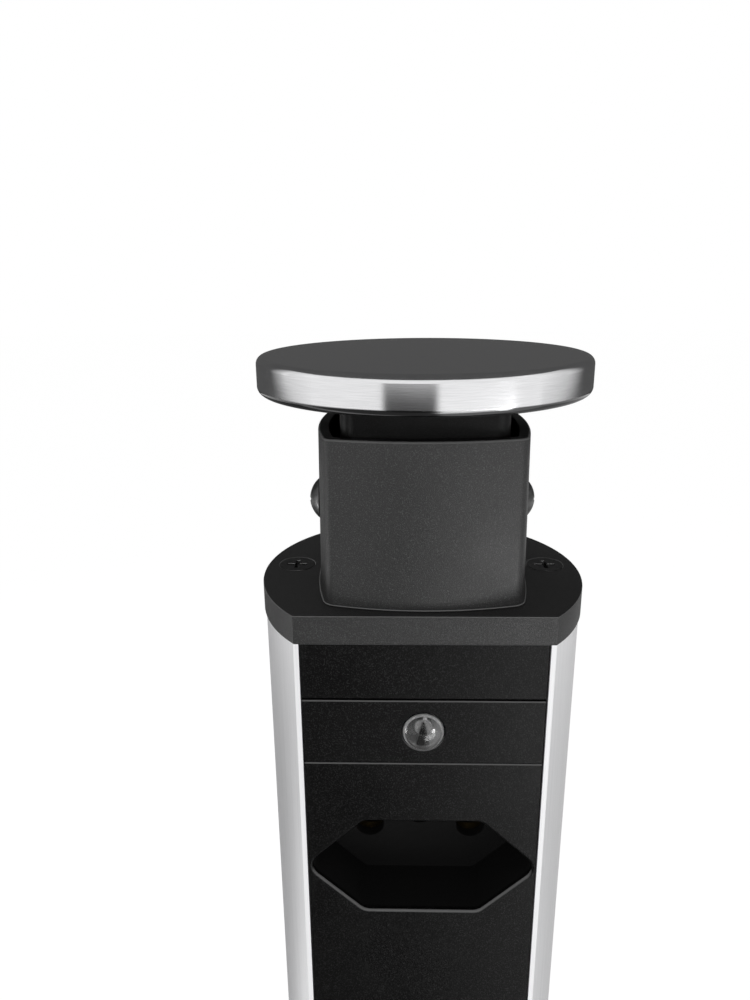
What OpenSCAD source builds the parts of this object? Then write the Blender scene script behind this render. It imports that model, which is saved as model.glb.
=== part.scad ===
// Pop-up desk socket: a round power tower that rises out of a hole in a desk top.
// It is drawn raised, with the lid sprung up. Millimetres, +Z up, the outlets face -Y.
// The origin lies on the axis of the desk hole, at the desk's top surface.

/* [Sockets] */
// Number of outlets
socket_count = 3; // [2:1:4]
// Distance between the centres of two outlets
socket_pitch = 45; // [42:0.5:60]
// From the last outlet's centre to the end of the socket front
socket_edge = 21.7; // [16:0.1:30]
// Width of the hexagonal recess over its rounded tips
hex_w = 38.4; // [36:0.1:40]
// Height of the hexagonal recess
hex_h = 19.2; // [17:0.1:22]
// Angle between the slanted and the level sides
hex_slant = 43.3; // [40:0.1:50]
// Corner radius of the recess
hex_r = 2.6; // [1.5:0.1:3.5]
// Depth of the recess
recess_depth = 10.7; // [9:0.1:13]
// Chamfer round the mouth of the recess
mouth_chamfer = 0.5; // [0.2:0.1:0.7]
// Wall of the recess cup
cup_wall = 1.1; // [0.8:0.1:1.5]
// Floor of the recess cup
cup_floor = 2; // [1.5:0.1:3]
// Distance between the line and neutral holes
pin_pitch = 19; // [18:0.1:20]
// Diameter of the pin holes
pin_hole_d = 5.2; // [4.8:0.1:5.4]
// Height of the earth hole above the other two
earth_rise = 3; // [2:0.1:4]

/* [Tower] */
// Radius of the round sides of the profile
tower_r = 27.7; // [27:0.1:31]
// Wall of the profile
profile_wall = 1.6; // [1.2:0.1:2]
// Width of the flat lip on each side of the front plates
lip_w = 0.83; // [0.6:0.01:1.5]
// Thickness of the lips
lip_t = 1.4; // [1:0.1:1.8]
// Thickness of the ribs behind the front plates
rib_t = 1.2; // [0.8:0.1:2]
// From the tip of a recess to the lip beside it
tip_margin = 0.85; // [0.6:0.05:1.5]
// Distance of a screw port's centre inside the round side
port_inset = 5.1; // [4.7:0.1:5.5]
// Place of the screw ports behind the axis
port_y = 2.9; // [1:0.1:5]
// Bore of a screw port
port_bore_d = 3.4; // [3:0.1:3.8]
// Wall of a screw port
port_wall = 1.9; // [1.6:0.1:2.2]
// Width of the guide groove at the back
groove_w = 6.4; // [5:0.1:8]
// Depth of the guide groove
groove_d = 2.6; // [2:0.1:3.2]
// How far the socket front stands clear of the flange when raised
raised_clear = 7; // [4:0.5:20]

/* [Front plates] */
// Height of the blank plate
blank_h = 10.35; // [8:0.05:20]
// Height of the indicator plate
indicator_h = 11.95; // [10.5:0.05:20]
// Thickness of the plates
plate_t = 2.6; // [2.2:0.1:3.2]
// How far the plates lie behind the lips' front
plate_sink = 0.3; // [0.1:0.05:0.8]
// How far a plate's edge reaches behind each lip
tongue_w = 1; // [0.8:0.05:1.1]
// Open line between two plates
plate_gap = 0.3; // [0.15:0.05:0.5]
// Chamfer along the plates' top and bottom edges
plate_chamfer = 0.3; // [0.1:0.05:0.5]

/* [Indicator] */
// Diameter of the lens where it passes the plate
lens_d = 6.9; // [5.5:0.1:7.5]
// Height of the lens dome
lens_h = 2; // [1.2:0.1:2.4]
// Rim of the lens behind the plate
lens_rim = 0.8; // [0.5:0.1:1.2]
// Diameter of the lamp behind the lens
led_d = 5; // [3:0.1:5.2]
// Thickness of the lamp's board
board_t = 1.6; // [1:0.1:2]
// Width of the lamp's board
board_w = 29; // [27:0.5:31]

/* [Collar] */
// Thickness of the collar
collar_h = 4.9; // [4:0.1:8]
// How far the collar stands out over the round sides
collar_overhang = 0.3; // [0.1:0.05:0.6]
// How far the collar stands out over the lips' front
collar_front = 0.63; // [0.2:0.01:1.2]
// Depth of the locating skirt inside the profile
skirt_h = 4; // [3:0.1:5]
// Wall of the locating skirt
skirt_wall = 1.4; // [1:0.1:2]
// Head diameter of the countersunk screws
csk_head_d = 6.5; // [6:0.1:7]
// Length of the countersunk screws
csk_l = 16; // [12:1:25]

/* [Neck] */
// Width of the neck at its foot, over its bowed sides
neck_w = 35.4; // [34:0.1:36.4]
// Depth of the neck at its foot, over its bowed front and back
neck_d = 34; // [33.2:0.1:36]
// Radius of the neck's four bowed walls
neck_bow = 55; // [45:1:90]
// Height of the neck
neck_h = 27.3; // [26:0.1:35]
// How much each side of the neck leans in towards the top
neck_draft = 0.3; // [0.1:0.05:0.6]
// Corner radius of the neck at its foot
neck_corner = 2.2; // [1.5:0.1:4]
// Wall of the neck at its top
neck_wall = 1.8; // [1.5:0.1:2.2]
// Floor of the neck
neck_floor = 4.5; // [4:0.1:6]
// Width and height of the bead round the neck's foot
neck_bead = 0.35; // [0.2:0.05:0.8]
// Height of the ribs in the neck that guide the stem
guide_rib_h = 1.3; // [1:0.1:1.6]
// Thickness of the guide ribs
guide_rib_t = 1.6; // [1.2:0.1:2]
// Place of the guide ribs on each side of a wall's middle
guide_rib_at = 7; // [5:0.1:8]
// How far the guide ribs end below the neck's rim
guide_rib_drop = 7; // [4:0.5:10]
// Head diameter of the domed side screws
side_head_d = 7.2; // [6.4:0.1:8.4]
// Head height of the domed side screws
side_head_h = 1.8; // [1.4:0.1:2.4]
// Shank diameter of the domed side screws
side_shank_d = 3.8; // [3:0.1:4.2]
// Place of the four floor screws on each side of the axis
floor_screw_at = 10.5; // [9:0.1:11.5]
// Shank diameter of the floor and module screws
small_shank_d = 2.5; // [2:0.1:2.8]
// Head diameter of the floor and module screws
small_head_d = 5; // [4.4:0.1:5.4]

/* [Lid] */
// Radius of the lid
lid_r = 27.3; // [26:0.1:30]
// Height of the lid
lid_h = 5.9; // [5:0.1:8]
// Rounding of the lid's top edge
lid_edge = 1.2; // [0.9:0.1:2]
// Sheet thickness of the lid
lid_wall = 0.9; // [0.6:0.1:1.2]
// Open gap between the neck and the raised lid
lid_gap = 5.4; // [4:0.1:7]
// Gap left between the neck and the pressed lid
pressed_gap = 0.4; // [0.2:0.1:1]
// How far the carrier lies inside the lid's lower edge
carrier_sink = 0.5; // [0.3:0.1:1]
// Thickness of the bonding pad
pad_t = 0.8; // [0.5:0.1:1.2]
// Wall of the carrier's stem
stem_wall = 2; // [1.5:0.1:2.5]
// Corner radius of the carrier's stem
stem_corner = 2.2; // [1:0.1:3]
// Number of ribs under the carrier's rim
carrier_ribs = 16; // [8:1:24]
// Thickness of those ribs
carrier_rib_t = 1.2; // [1:0.1:1.6]
// Depth of the pockets between them
carrier_pocket = 2; // [1:0.1:2.4]
// Gap under the pressed stem
stem_floor_gap = 1.2; // [0.6:0.1:2]

/* [Latch] */
// Outer diameter of the latch case
latch_d = 9; // [8:0.1:9.5]
// Height of the latch case
latch_h = 13.5; // [10:0.1:15]
// Diameter of the latch plunger
plunger_d = 5; // [4:0.1:5.5]
// Wire diameter of the lid spring
spring_wire = 1.2; // [0.8:0.1:1.4]
// Number of spring turns
spring_turns = 8; // [5:1:10]

/* [Contacts] */
// Inner diameter of a contact sleeve
contact_d = 4.7; // [4.4:0.05:4.8]
// Wall of a contact sleeve
contact_wall = 1; // [0.6:0.05:1.1]
// Length of a contact sleeve
contact_l = 9; // [8:0.1:11]
// How far the contact sleeves lie behind the recess cup
contact_sink = 3; // [0.5:0.1:4]
// Width of a bus bar
bar_w = 6; // [5:0.1:6.5]
// Thickness of a bus bar
bar_t = 1; // [0.8:0.1:1.2]
// Width of the contact carrier and the rear insulator
module_w = 36; // [35:0.1:37]
// Thickness of the carrier's and the insulator's plates
module_t = 1.8; // [1.4:0.1:2]
// Open depth over the bus bars under the insulator
bar_cover = 1; // [0.6:0.1:1.5]
// Height of the terminal block
terminal_h = 18; // [16:0.5:22]
// Depth of the terminal block
terminal_d = 13; // [12:0.5:14]

/* [Base] */
// Thickness of the base cap
base_t = 4; // [3.6:0.1:6]
// Diameter of the gland's thread
gland_d = 16; // [14:0.5:18]
// Bore for the supply lead
gland_bore_d = 8.4; // [7:0.1:9]
// Place of the gland behind the axis
gland_y = 3; // [1:0.5:5]
// Width across flats of the gland's hexagons
gland_hex = 20; // [19:0.5:22]
// Length of the gland's cap nut
gland_cap_l = 15; // [13:0.5:18]

/* [Desk flange] */
// Thickness of the flange ring
flange_h = 5; // [4:0.5:8]
// Width of the flange ring outside the desk hole's spigot
flange_w = 8.5; // [6:0.5:15]
// Rounding of the flange's top edge
flange_edge = 2.2; // [1:0.1:3]
// Wall of the threaded tube
tube_wall = 2.6; // [2.2:0.1:4]
// How far the tube reaches below the desk's top surface
tube_l = 50; // [48:1:80]
// Height of the plain spigot under the flange
spigot_h = 8; // [5:0.5:12]
// How far the spigot stands out over the thread
spigot_step = 0.5; // [0.3:0.1:1]
// Thickness of the flat guide wall at the front of the tube
guide_wall = 2.8; // [2.4:0.1:4]
// Height of the guide key
key_h = 8; // [6:0.5:10]
// How far the lowered lid lies below the flange's top
lid_drop = 0.1; // [0:0.05:0.5]
// Thickness of the ledge under the lowered lid
ledge_t = 2; // [1.5:0.1:3]
// Gap between the lowered lid and the ledge
ledge_gap = 0.9; // [0.5:0.1:2]
// Thickness of the friction pads
friction_t = 1.6; // [1.2:0.1:2]
// Width of the friction pads
friction_w = 18; // [10:1:24]

/* [Clamp] */
// Desk thickness that the nut is set for
desk_t = 25; // [12:1:32]
// Thickness of the clamp washer
washer_t = 3; // [2:0.5:5]
// Width of the clamp washer
washer_w = 7.5; // [5:0.5:10]
// Height of the clamp nut
nut_h = 12; // [8:0.5:14]
// Wall of the clamp nut
nut_wall = 4.5; // [3:0.5:7]
// Number of finger grips on the nut
grip_count = 8; // [6:1:12]
// Radius of a finger grip
grip_r = 4; // [3:0.1:5]

/* [Fits] */
// Gap between the tower and the flange's guide
slide_gap = 0.4; // [0.3:0.05:0.6]
// Gap between pieces that are fitted together
fit_gap = 0.1; // [0.05:0.01:0.15]
// Least gap between the contact module and the screw ports
module_gap = 0.6; // [0.4:0.1:1]
// Gap left at the ends of a travel
stop_gap = 0.2; // [0.1:0.05:0.4]
// Gap between the tube's thread and what runs on it
thread_gap = 0.3; // [0.2:0.05:0.5]

/* [Hidden] */
$fn = 64;
eps = 0.01;
far = 200;

// Recess outline
hex_tip = hex_w / 2 + hex_r * (1 / sin(hex_slant) - 1);
hex_flat = hex_tip - hex_h / 2 / tan(hex_slant);
HEX = [
    [hex_tip, 0], [hex_flat, hex_h / 2], [-hex_flat, hex_h / 2],
    [-hex_tip, 0], [-hex_flat, -hex_h / 2], [hex_flat, -hex_h / 2]
];

// Plan of the tower
window_w = hex_w + 2 * tip_margin;
front_flat = sqrt(tower_r ^ 2 - (window_w / 2 + lip_w) ^ 2);
y_face = -front_flat + plate_sink;
y_plate_back = y_face + plate_t;
y_lip_back = -front_flat + lip_t;
y_rib_back = y_plate_back + fit_gap + rib_t;
tongue_half = window_w / 2 + tongue_w;
rib_half = hex_w / 2 + cup_wall + 2 * fit_gap;
bore_in_r = tower_r - profile_wall;
port_r = port_bore_d / 2 + port_wall;
port_x = max(tower_r - port_inset, module_w / 2 + module_gap + port_r);
port_screw_d = port_bore_d - 4 * fit_gap;
groove_boss_w = groove_w + 2 * profile_wall;
groove_boss_y = tower_r - groove_d - profile_wall;
collar_r = tower_r + collar_overhang;
collar_flat = front_flat + collar_front;

// Heights of the front plates, the collar, the neck and the lid
socket_front_h = 2 * socket_edge + (socket_count - 1) * socket_pitch;
z_sockets = flange_h + raised_clear;
z_indicator = z_sockets + socket_front_h;
z_blank = z_indicator + indicator_h;
z_collar = z_blank + blank_h;
z_neck = z_collar + collar_h;
z_floor = z_neck + neck_floor;
z_rim = z_neck + neck_h;
z_lid = z_rim + lid_gap;
z_top = z_lid + lid_h;
z_lens = z_indicator + (indicator_h - plate_gap) / 2;
function z_socket(i) = z_sockets + socket_edge + i * socket_pitch;
z_first = z_socket(0);
z_last = z_socket(socket_count - 1);

// Travels, and the guide key that ends the tower's travel
lid_travel = lid_gap - pressed_gap;
tower_travel = z_top - lid_travel - flange_h + lid_drop;
z_key_top = z_collar - tower_travel - stop_gap;
z_key = z_key_top - key_h;
z_base = z_key - stop_gap;

// Neck, lid and latch
neck_mid_half = neck_w / 2 - neck_draft / 2;
pocket_half_x = neck_w / 2 - neck_draft - neck_wall;
pocket_half_y = neck_d / 2 - neck_draft - neck_wall;
pocket_bow = neck_bow - neck_wall;
bow_step = 1 / 3;
bow_fn = 128;
corner_fn = 32;
corner_tries = 8;
stem_gap = 4.5 * fit_gap;
guide_rib_face = min(pocket_half_x, pocket_half_y) - guide_rib_h;
stem_w = 2 * (guide_rib_face - stem_gap);
z_carrier = z_lid + carrier_sink;
carrier_t = lid_h - lid_wall - pad_t - carrier_sink;
carrier_r = lid_r - lid_wall - fit_gap;
carrier_rim = 1.6;
carrier_core_r = (stem_w / 2 - stem_corner) * sqrt(2) + stem_corner + carrier_rib_t;
z_stem = z_floor + lid_travel + stem_floor_gap;
z_side_screw = z_neck + neck_h / 2;
side_head_at = neck_mid_half + side_head_d / 2 * neck_draft / neck_h + fit_gap / 2;
side_tip_at = stem_w / 2 - stem_wall + 4 * fit_gap;
neck_skin = 1.5;
floor_hole_l = neck_floor - neck_skin + 5 * fit_gap;
point_gap = 5 * fit_gap;
plunger_head_t = 1.5;
plunger_head_d = plunger_d + 2 * plunger_head_t;
latch_foot_t = 1;
spring_play = 0.7;
spring_r = latch_d / 2 + spring_wire / 2 + spring_play;
latch_foot_r = spring_r + spring_wire / 2 + 3 * fit_gap;
spring_rings = 8 * spring_turns;
spring_low = z_floor + latch_foot_t + spring_wire / 2 + fit_gap;
spring_high = z_carrier - spring_wire / 2 - fit_gap;

// Socket module, from its floor to the rear insulator
y_recess = y_face + recess_depth;
y_cup_back = y_recess + cup_floor;
y_carrier = y_cup_back + contact_sink + contact_l - module_t;
y_bar = y_carrier + module_t;
y_cover = y_bar + bar_t + bar_cover;
y_module = y_cover + module_t;
contact_r = contact_d / 2 + contact_wall;
sleeve_r = contact_r + 2 * fit_gap;
sleeve_wall = 1.1;
module_margin = 16;
module_screw_inset = 2.8;
module_screw_x = module_w / 2 - module_screw_inset;
module_screw_rows = [for (i = [0 : socket_count - 2]) z_socket(i) + socket_pitch / 2];
module_boss_r = 2.6;
boss_skin = 1;
lens_flange_t = 1;
led_body_l = 2.6;
led_rim = 0.4;
led_rim_t = 1;
led_leg = 0.5;
led_leg_l = 1.5;
led_leg_at = 1.27;
board_edge = 2;
board_room = 2.8;
board_front = y_plate_back + board_room;
board_back = y_bar + bar_t + board_edge;
z_board = z_lens - led_d / 2 - led_leg;
z_bar_end = z_board + board_edge;
ear_w = 3;
ear_l = 9;
ear_t = 1.5;
ear_bite = 1.3;
terminal_w = module_w + 8 * fit_gap;
terminal_drop = 4;
z_terminal = z_sockets - terminal_drop - terminal_h;
terminal_front = 5;
terminal_y = y_bar - terminal_front;
tail_l = 10;
terminal_screw_z = z_terminal + terminal_h / 2;
terminal_clamp_z = z_terminal + terminal_h - tail_l / 2;
clamp_screw_d = 3.5;
clamp_slot = 0.8;
clamp_slot_d = 1;
wire_d = 4.4;

// Gland under the base cap
z_gland = z_base - base_t;
gland_flange_t = 5;
gland_thread_l = 8;
gland_neck_step = 1;
gland_neck_d = gland_d - 2 * gland_neck_step;
gland_cap_step = 0.6;
gland_cap_r = gland_hex / 2 + gland_cap_step;
gland_dome = 4;
gland_grip_r = 1.6;
gland_grips = 12;
thread_end = 1.5;
locknut_t = 4.5;
z_gland_cap = z_gland - gland_flange_t - fit_gap - gland_cap_l;

// Flange, guide tube and clamp
bore_r = max(collar_r, lid_r) + slide_gap;
tube_r = bore_r + tube_wall;
spigot_r = tube_r + spigot_step;
flange_r = spigot_r + flange_w;
guide_flat = collar_flat + slide_gap;
lens_out = max(0, lens_h - plate_sink - collar_front);
relief_d = lens_out + slide_gap / 2;
relief_w = lens_d + 4 * slide_gap;
z_ledge = flange_h - lid_drop - lid_h - ledge_gap;
key_w = groove_w - 4 * fit_gap;
key_in = tower_r - groove_d + 4 * fit_gap;
key_screw_y = tube_r - 2 * fit_gap;
friction_in_r = tower_r + fit_gap;
friction_end = 0.5;
friction_h = key_h - 2 * friction_end;
friction_z = z_key + (key_h - friction_h) / 2;
z_washer = -desk_t - washer_t;
z_nut = z_washer - nut_h;
nut_bore_r = tube_r + thread_gap;
nut_r = nut_bore_r + nut_wall;

// Colours
black_moulding = [0.09, 0.09, 0.10];
dark_plate = [0.05, 0.05, 0.06];
satin_aluminium = [0.80, 0.81, 0.83];
brushed_steel = [0.68, 0.68, 0.69];
black_steel = [0.14, 0.14, 0.15];
zinc = [0.62, 0.64, 0.66];
brass = [0.78, 0.62, 0.28];
clear = [0.82, 0.84, 0.86, 0.45];
board_green = [0.10, 0.32, 0.18];
white_nylon = [0.86, 0.86, 0.83];
grey_felt = [0.30, 0.30, 0.31];
rubber = [0.12, 0.12, 0.12];

// Outlines with rounded corners

function unit(v) = v / norm(v);
function side_before(p, i) = unit(p[(i + len(p) - 1) % len(p)] - p[i]);
function side_after(p, i) = unit(p[(i + 1) % len(p)] - p[i]);
function half_angle(p, i) = acos(side_before(p, i) * side_after(p, i)) / 2;
function bisector(p, i) = unit(side_before(p, i) + side_after(p, i));

// The outline p with every side moved out by w
function grown(p, w) = [for (i = [0 : len(p) - 1]) p[i] - bisector(p, i) * w / sin(half_angle(p, i))];

// The outline p with every corner rounded to radius r
module rounded(p, r) {
    polygon([
        for (i = [0 : len(p) - 1])
            each [
                p[i] + side_before(p, i) * r / tan(half_angle(p, i)),
                p[i] + side_after(p, i) * r / tan(half_angle(p, i))
            ]
    ]);
    for (i = [0 : len(p) - 1])
        translate(p[i] + bisector(p, i) * r / sin(half_angle(p, i)))
            circle(r);
}

module rounded_square(w, r) {
    h = w / 2;
    rounded([[h, h], [-h, h], [-h, -h], [h, -h]], r);
}

// A circle cut flat towards the front
module d_outline(r, flat) {
    intersection() {
        circle(r);
        translate([-far, -flat])
            square([2 * far, 2 * far]);
    }
}

// Draws children with their Z towards the front, starting at depth y and height z
module facing_front(x, y, z) {
    translate([x, y, z])
        rotate([90, 0, 0])
            children();
}

// Draws children with their Z towards the back, starting at depth y and height z
module facing_back(x, y, z) {
    translate([x, y, z])
        rotate([-90, 0, 0])
            children();
}

module both_sides() {
    children();
    mirror([1, 0, 0])
        children();
}

// Screws, drawn point down with the top of the head at z = 0

module cross_recess(size, depth) {
    blade = size / 5;
    for (turn = [0, 90])
        rotate(turn)
            translate([-size / 2, -blade / 2, -depth])
                cube([size, blade, depth + eps]);
}

module countersunk_screw(head_d, shank_d, l) {
    head_t = (head_d - shank_d) / 2;
    difference() {
        union() {
            translate([0, 0, -head_t])
                cylinder(h = head_t, d1 = shank_d, d2 = head_d);
            translate([0, 0, -l])
                cylinder(h = l - head_t, d = shank_d);
        }
        cross_recess(head_d * 0.55, head_t * 0.7);
    }
}

// Room for a countersunk screw whose head lies flush at z = 0
module countersink(head_d, shank_d, l) {
    head_t = (head_d - shank_d) / 2;
    translate([0, 0, -head_t])
        cylinder(h = head_t, d1 = shank_d + 2 * fit_gap, d2 = head_d + 2 * fit_gap);
    translate([0, 0, -l])
        cylinder(h = l, d = shank_d + 2 * fit_gap);
    cylinder(h = far, d = head_d + 2 * fit_gap);
}

// A screw with a domed head whose seat lies at z = 0
module domed_screw(head_d, head_h, shank_d, l) {
    ball_r = (head_d ^ 2 / 4 + head_h ^ 2) / (2 * head_h);
    difference() {
        union() {
            intersection() {
                translate([0, 0, head_h - ball_r])
                    sphere(ball_r);
                cylinder(h = head_h, d = 2 * head_d);
            }
            translate([0, 0, -l])
                cylinder(h = l + head_h / 4, d = shank_d);
        }
        translate([0, 0, head_h])
            cross_recess(head_d * 0.45, head_h * 0.5);
    }
}

// Lid and push latch

module lid_profile(r, h, edge) {
    square([r - edge, h]);
    square([r, h - edge]);
    translate([r - edge, h - edge])
        circle(edge);
}

module lid_cap() {
    inner_edge = max(2 * fit_gap, lid_edge - lid_wall);
    color(brushed_steel)
        translate([0, 0, z_lid])
            rotate_extrude($fn = 96)
                difference() {
                    lid_profile(lid_r, lid_h, lid_edge);
                    translate([-eps, -eps])
                        lid_profile(lid_r - lid_wall + eps, lid_h - lid_wall + eps, inner_edge);
                    translate([-far, -far])
                        square([far, 2 * far]);
                }
}

module lid_pad() {
    color(rubber)
        translate([0, 0, z_carrier + carrier_t])
            cylinder(h = pad_t, r = carrier_r - 2 * lid_edge);
}

// Slot in the stem's sides that the side screws' tips run in
module stem_slot() {
    slot_r = side_shank_d / 2 + 3 * fit_gap;
    slot_low = z_side_screw;
    slot_high = z_side_screw + lid_travel;
    for (z = [slot_low, slot_high])
        translate([-far / 2, 0, z])
            rotate([0, 90, 0])
                cylinder(h = far, r = slot_r);
    translate([-far / 2, -slot_r, slot_low])
        cube([far, 2 * slot_r, slot_high - slot_low]);
}

// Pockets under the carrier's rim that leave a ring of ribs
module carrier_pockets() {
    translate([0, 0, z_carrier - eps])
        difference() {
            cylinder(h = carrier_pocket, r = carrier_r - carrier_rim);
            cylinder(h = far, r = carrier_core_r, center = true);
            for (i = [0 : carrier_ribs - 1])
                rotate(360 * i / carrier_ribs)
                    translate([0, -carrier_rib_t / 2, -eps])
                        cube([far, carrier_rib_t, far]);
        }
}

module lid_carrier() {
    color(black_moulding) {
        difference() {
            translate([0, 0, z_carrier])
                cylinder(h = carrier_t, r = carrier_r);
            carrier_pockets();
        }
        difference() {
            translate([0, 0, z_stem])
                linear_extrude(z_carrier + eps - z_stem)
                    difference() {
                        rounded_square(stem_w, stem_corner);
                        square(stem_w - 2 * stem_wall, center = true);
                    }
            stem_slot();
        }
    }
}

module latch_plunger() {
    plunger_end = z_floor + latch_foot_t + lid_travel + stop_gap;
    color(white_nylon) {
        translate([0, 0, plunger_end])
            cylinder(h = z_carrier - plunger_end, d = plunger_d);
        translate([0, 0, z_carrier - plunger_head_t])
            cylinder(h = plunger_head_t, d = plunger_head_d);
    }
}

module latch_case() {
    spigot_l = neck_floor - neck_skin;
    color(white_nylon)
        difference() {
            union() {
                translate([0, 0, z_floor])
                    cylinder(h = latch_h, d = latch_d);
                translate([0, 0, z_floor])
                    cylinder(h = latch_foot_t, r = latch_foot_r);
                translate([0, 0, z_floor - spigot_l])
                    cylinder(h = spigot_l + eps, d = plunger_d);
            }
            translate([0, 0, z_floor + latch_foot_t])
                cylinder(h = latch_h, d = plunger_d + 4 * fit_gap);
        }
}

// Points of the spring's wire, with 8 rings a turn of 6 sides
function spring_point(i) = [
    spring_r * cos(45 * i), spring_r * sin(45 * i),
    spring_low + (spring_high - spring_low) * i / spring_rings
];
function spring_ring(i) = [
    for (s = [0 : 5])
        spring_point(i)
        + spring_wire / 2 * cos(60 * s) * [cos(45 * i), sin(45 * i), 0]
        + spring_wire / 2 * sin(60 * s) * [0, 0, 1]
];
spring_least_gap = min([
    for (i = [0 : spring_rings - 8])
        norm(spring_point(i + 8) - spring_point(i))
]) - spring_wire;
echo(spring_least_gap = spring_least_gap);

module lid_spring() {
    last = 6 * spring_rings;
    points = [for (i = [0 : spring_rings]) each spring_ring(i)];
    sides = [
        for (i = [0 : spring_rings - 1], s = [0 : 5])
            let (a = 6 * i + s, b = 6 * i + (s + 1) % 6)
                each [[a, a + 6, b], [b, a + 6, b + 6]]
    ];
    ends = [for (s = [1 : 4]) each [[0, s, s + 1], [last, last + s + 1, last + s]]];
    color(zinc)
        polyhedron(points, concat(sides, ends));
}

// Neck

// Where a bowed wall lies, one corner radius inside its outer face
function bowed(half, at) = half - neck_bow + sqrt((neck_bow - neck_corner) ^ 2 - at ^ 2);
function neck_corner_at(x, y, tries) = tries < 1
    ? [x, y]
    : neck_corner_at(bowed(neck_w / 2, y), bowed(neck_d / 2, x), tries - 1);
neck_corner_place = neck_corner_at(neck_w / 2 - neck_corner, neck_d / 2 - neck_corner, corner_tries);

// The neck's outside: a square with four bowed walls, tapered towards the top
module neck_outer(r_foot, r_top, h) {
    hull()
        for (side = [-1, 1], step = [-1 : bow_step : 1]) {
            x = neck_corner_place[0] * step;
            y = neck_corner_place[1] * step;
            for (place = [[side * bowed(neck_w / 2, y), y], [x, side * bowed(neck_d / 2, x)]])
                translate([place[0], place[1], z_neck])
                    cylinder(h = h, r1 = r_foot, r2 = r_top, $fn = corner_fn);
        }
}

module pocket_outline() {
    intersection() {
        translate([pocket_half_x - pocket_bow, 0])
            circle(pocket_bow, $fn = bow_fn);
        translate([pocket_bow - pocket_half_x, 0])
            circle(pocket_bow, $fn = bow_fn);
        translate([0, pocket_half_y - pocket_bow])
            circle(pocket_bow, $fn = bow_fn);
        translate([0, pocket_bow - pocket_half_y])
            circle(pocket_bow, $fn = bow_fn);
    }
}

module guide_ribs() {
    for (side = [-guide_rib_at, guide_rib_at], turn = [0 : 90 : 270])
        rotate(turn)
            translate([guide_rib_face, side - guide_rib_t / 2, z_floor - eps])
                cube([far, guide_rib_t, neck_h - neck_floor - guide_rib_drop]);
}

// The space in the neck that the stem slides in
module neck_pocket() {
    difference() {
        translate([0, 0, z_floor])
            linear_extrude(neck_h)
                pocket_outline();
        guide_ribs();
    }
}

module floor_screw_places(z) {
    for (x = [-floor_screw_at, floor_screw_at], y = [-floor_screw_at, floor_screw_at])
        translate([x, y, z])
            children();
}

module neck_housing() {
    color(black_moulding)
        difference() {
            union() {
                neck_outer(neck_corner, neck_corner - neck_draft, neck_h);
                neck_outer(neck_corner + neck_bead, neck_corner, neck_bead);
            }
            neck_pocket();
            translate([-far / 2, 0, z_side_screw])
                rotate([0, 90, 0])
                    cylinder(h = far, d = side_shank_d + 2 * fit_gap);
            translate([0, 0, z_neck + neck_skin])
                cylinder(h = neck_floor, d = plunger_d + 2 * fit_gap);
            floor_screw_places(z_neck - eps)
                cylinder(h = floor_hole_l, d = small_shank_d + 2 * fit_gap);
        }
}

module neck_side_screws() {
    color(black_steel)
        both_sides()
            translate([side_head_at, 0, z_side_screw])
                rotate([0, 90, 0])
                    domed_screw(side_head_d, side_head_h, side_shank_d, side_head_at - side_tip_at);
}

module neck_base_screws() {
    color(zinc)
        floor_screw_places(z_collar)
            mirror([0, 0, 1])
                countersunk_screw(small_head_d, small_shank_d, collar_h + floor_hole_l - point_gap);
}

// Collar, profile and base cap

// Skirt that locates a cap inside the profile
module skirt_outline() {
    skirt_r = bore_in_r - fit_gap;
    y_front = y_rib_back + fit_gap;
    difference() {
        d_outline(skirt_r, -y_front);
        d_outline(skirt_r - skirt_wall, -y_front - skirt_wall);
        both_sides()
            translate([port_x, port_y])
                circle(port_r + 2 * fit_gap);
        translate([-groove_boss_w / 2 - fit_gap, groove_boss_y - fit_gap])
            square([groove_boss_w + 2 * fit_gap, far]);
    }
}

module top_collar() {
    color(black_moulding)
        difference() {
            union() {
                translate([0, 0, z_collar])
                    linear_extrude(collar_h)
                        d_outline(collar_r, collar_flat);
                translate([0, 0, z_collar - skirt_h])
                    linear_extrude(skirt_h + eps)
                        skirt_outline();
            }
            both_sides()
                translate([port_x, port_y, z_neck])
                    countersink(csk_head_d, port_screw_d, 3 * collar_h);
            floor_screw_places(z_collar)
                mirror([0, 0, 1])
                    countersink(small_head_d, small_shank_d, 2 * collar_h);
        }
}

module collar_screws() {
    color(black_steel)
        both_sides()
            translate([port_x, port_y, z_neck])
                countersunk_screw(csk_head_d, port_screw_d, csk_l);
}

module profile_outline() {
    difference() {
        d_outline(tower_r, front_flat);
        difference() {
            d_outline(bore_in_r, -y_rib_back);
            both_sides()
                translate([port_x, port_y])
                    circle(port_r);
            translate([-groove_boss_w / 2, groove_boss_y])
                square([groove_boss_w, far]);
        }
        translate([-window_w / 2, -far])
            square([window_w, far + y_lip_back + eps]);
        translate([-tongue_half - 1.5 * fit_gap, y_lip_back])
            square([2 * tongue_half + 3 * fit_gap, y_plate_back + fit_gap - y_lip_back]);
        translate([-rib_half, y_plate_back])
            square([2 * rib_half, y_rib_back + eps - y_plate_back]);
        both_sides()
            translate([port_x, port_y])
                circle(d = port_bore_d);
        translate([-groove_w / 2, tower_r - groove_d])
            square([groove_w, far]);
    }
}

module body_extrusion() {
    color(satin_aluminium)
        translate([0, 0, z_base])
            linear_extrude(z_collar - z_base)
                profile_outline();
}

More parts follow.
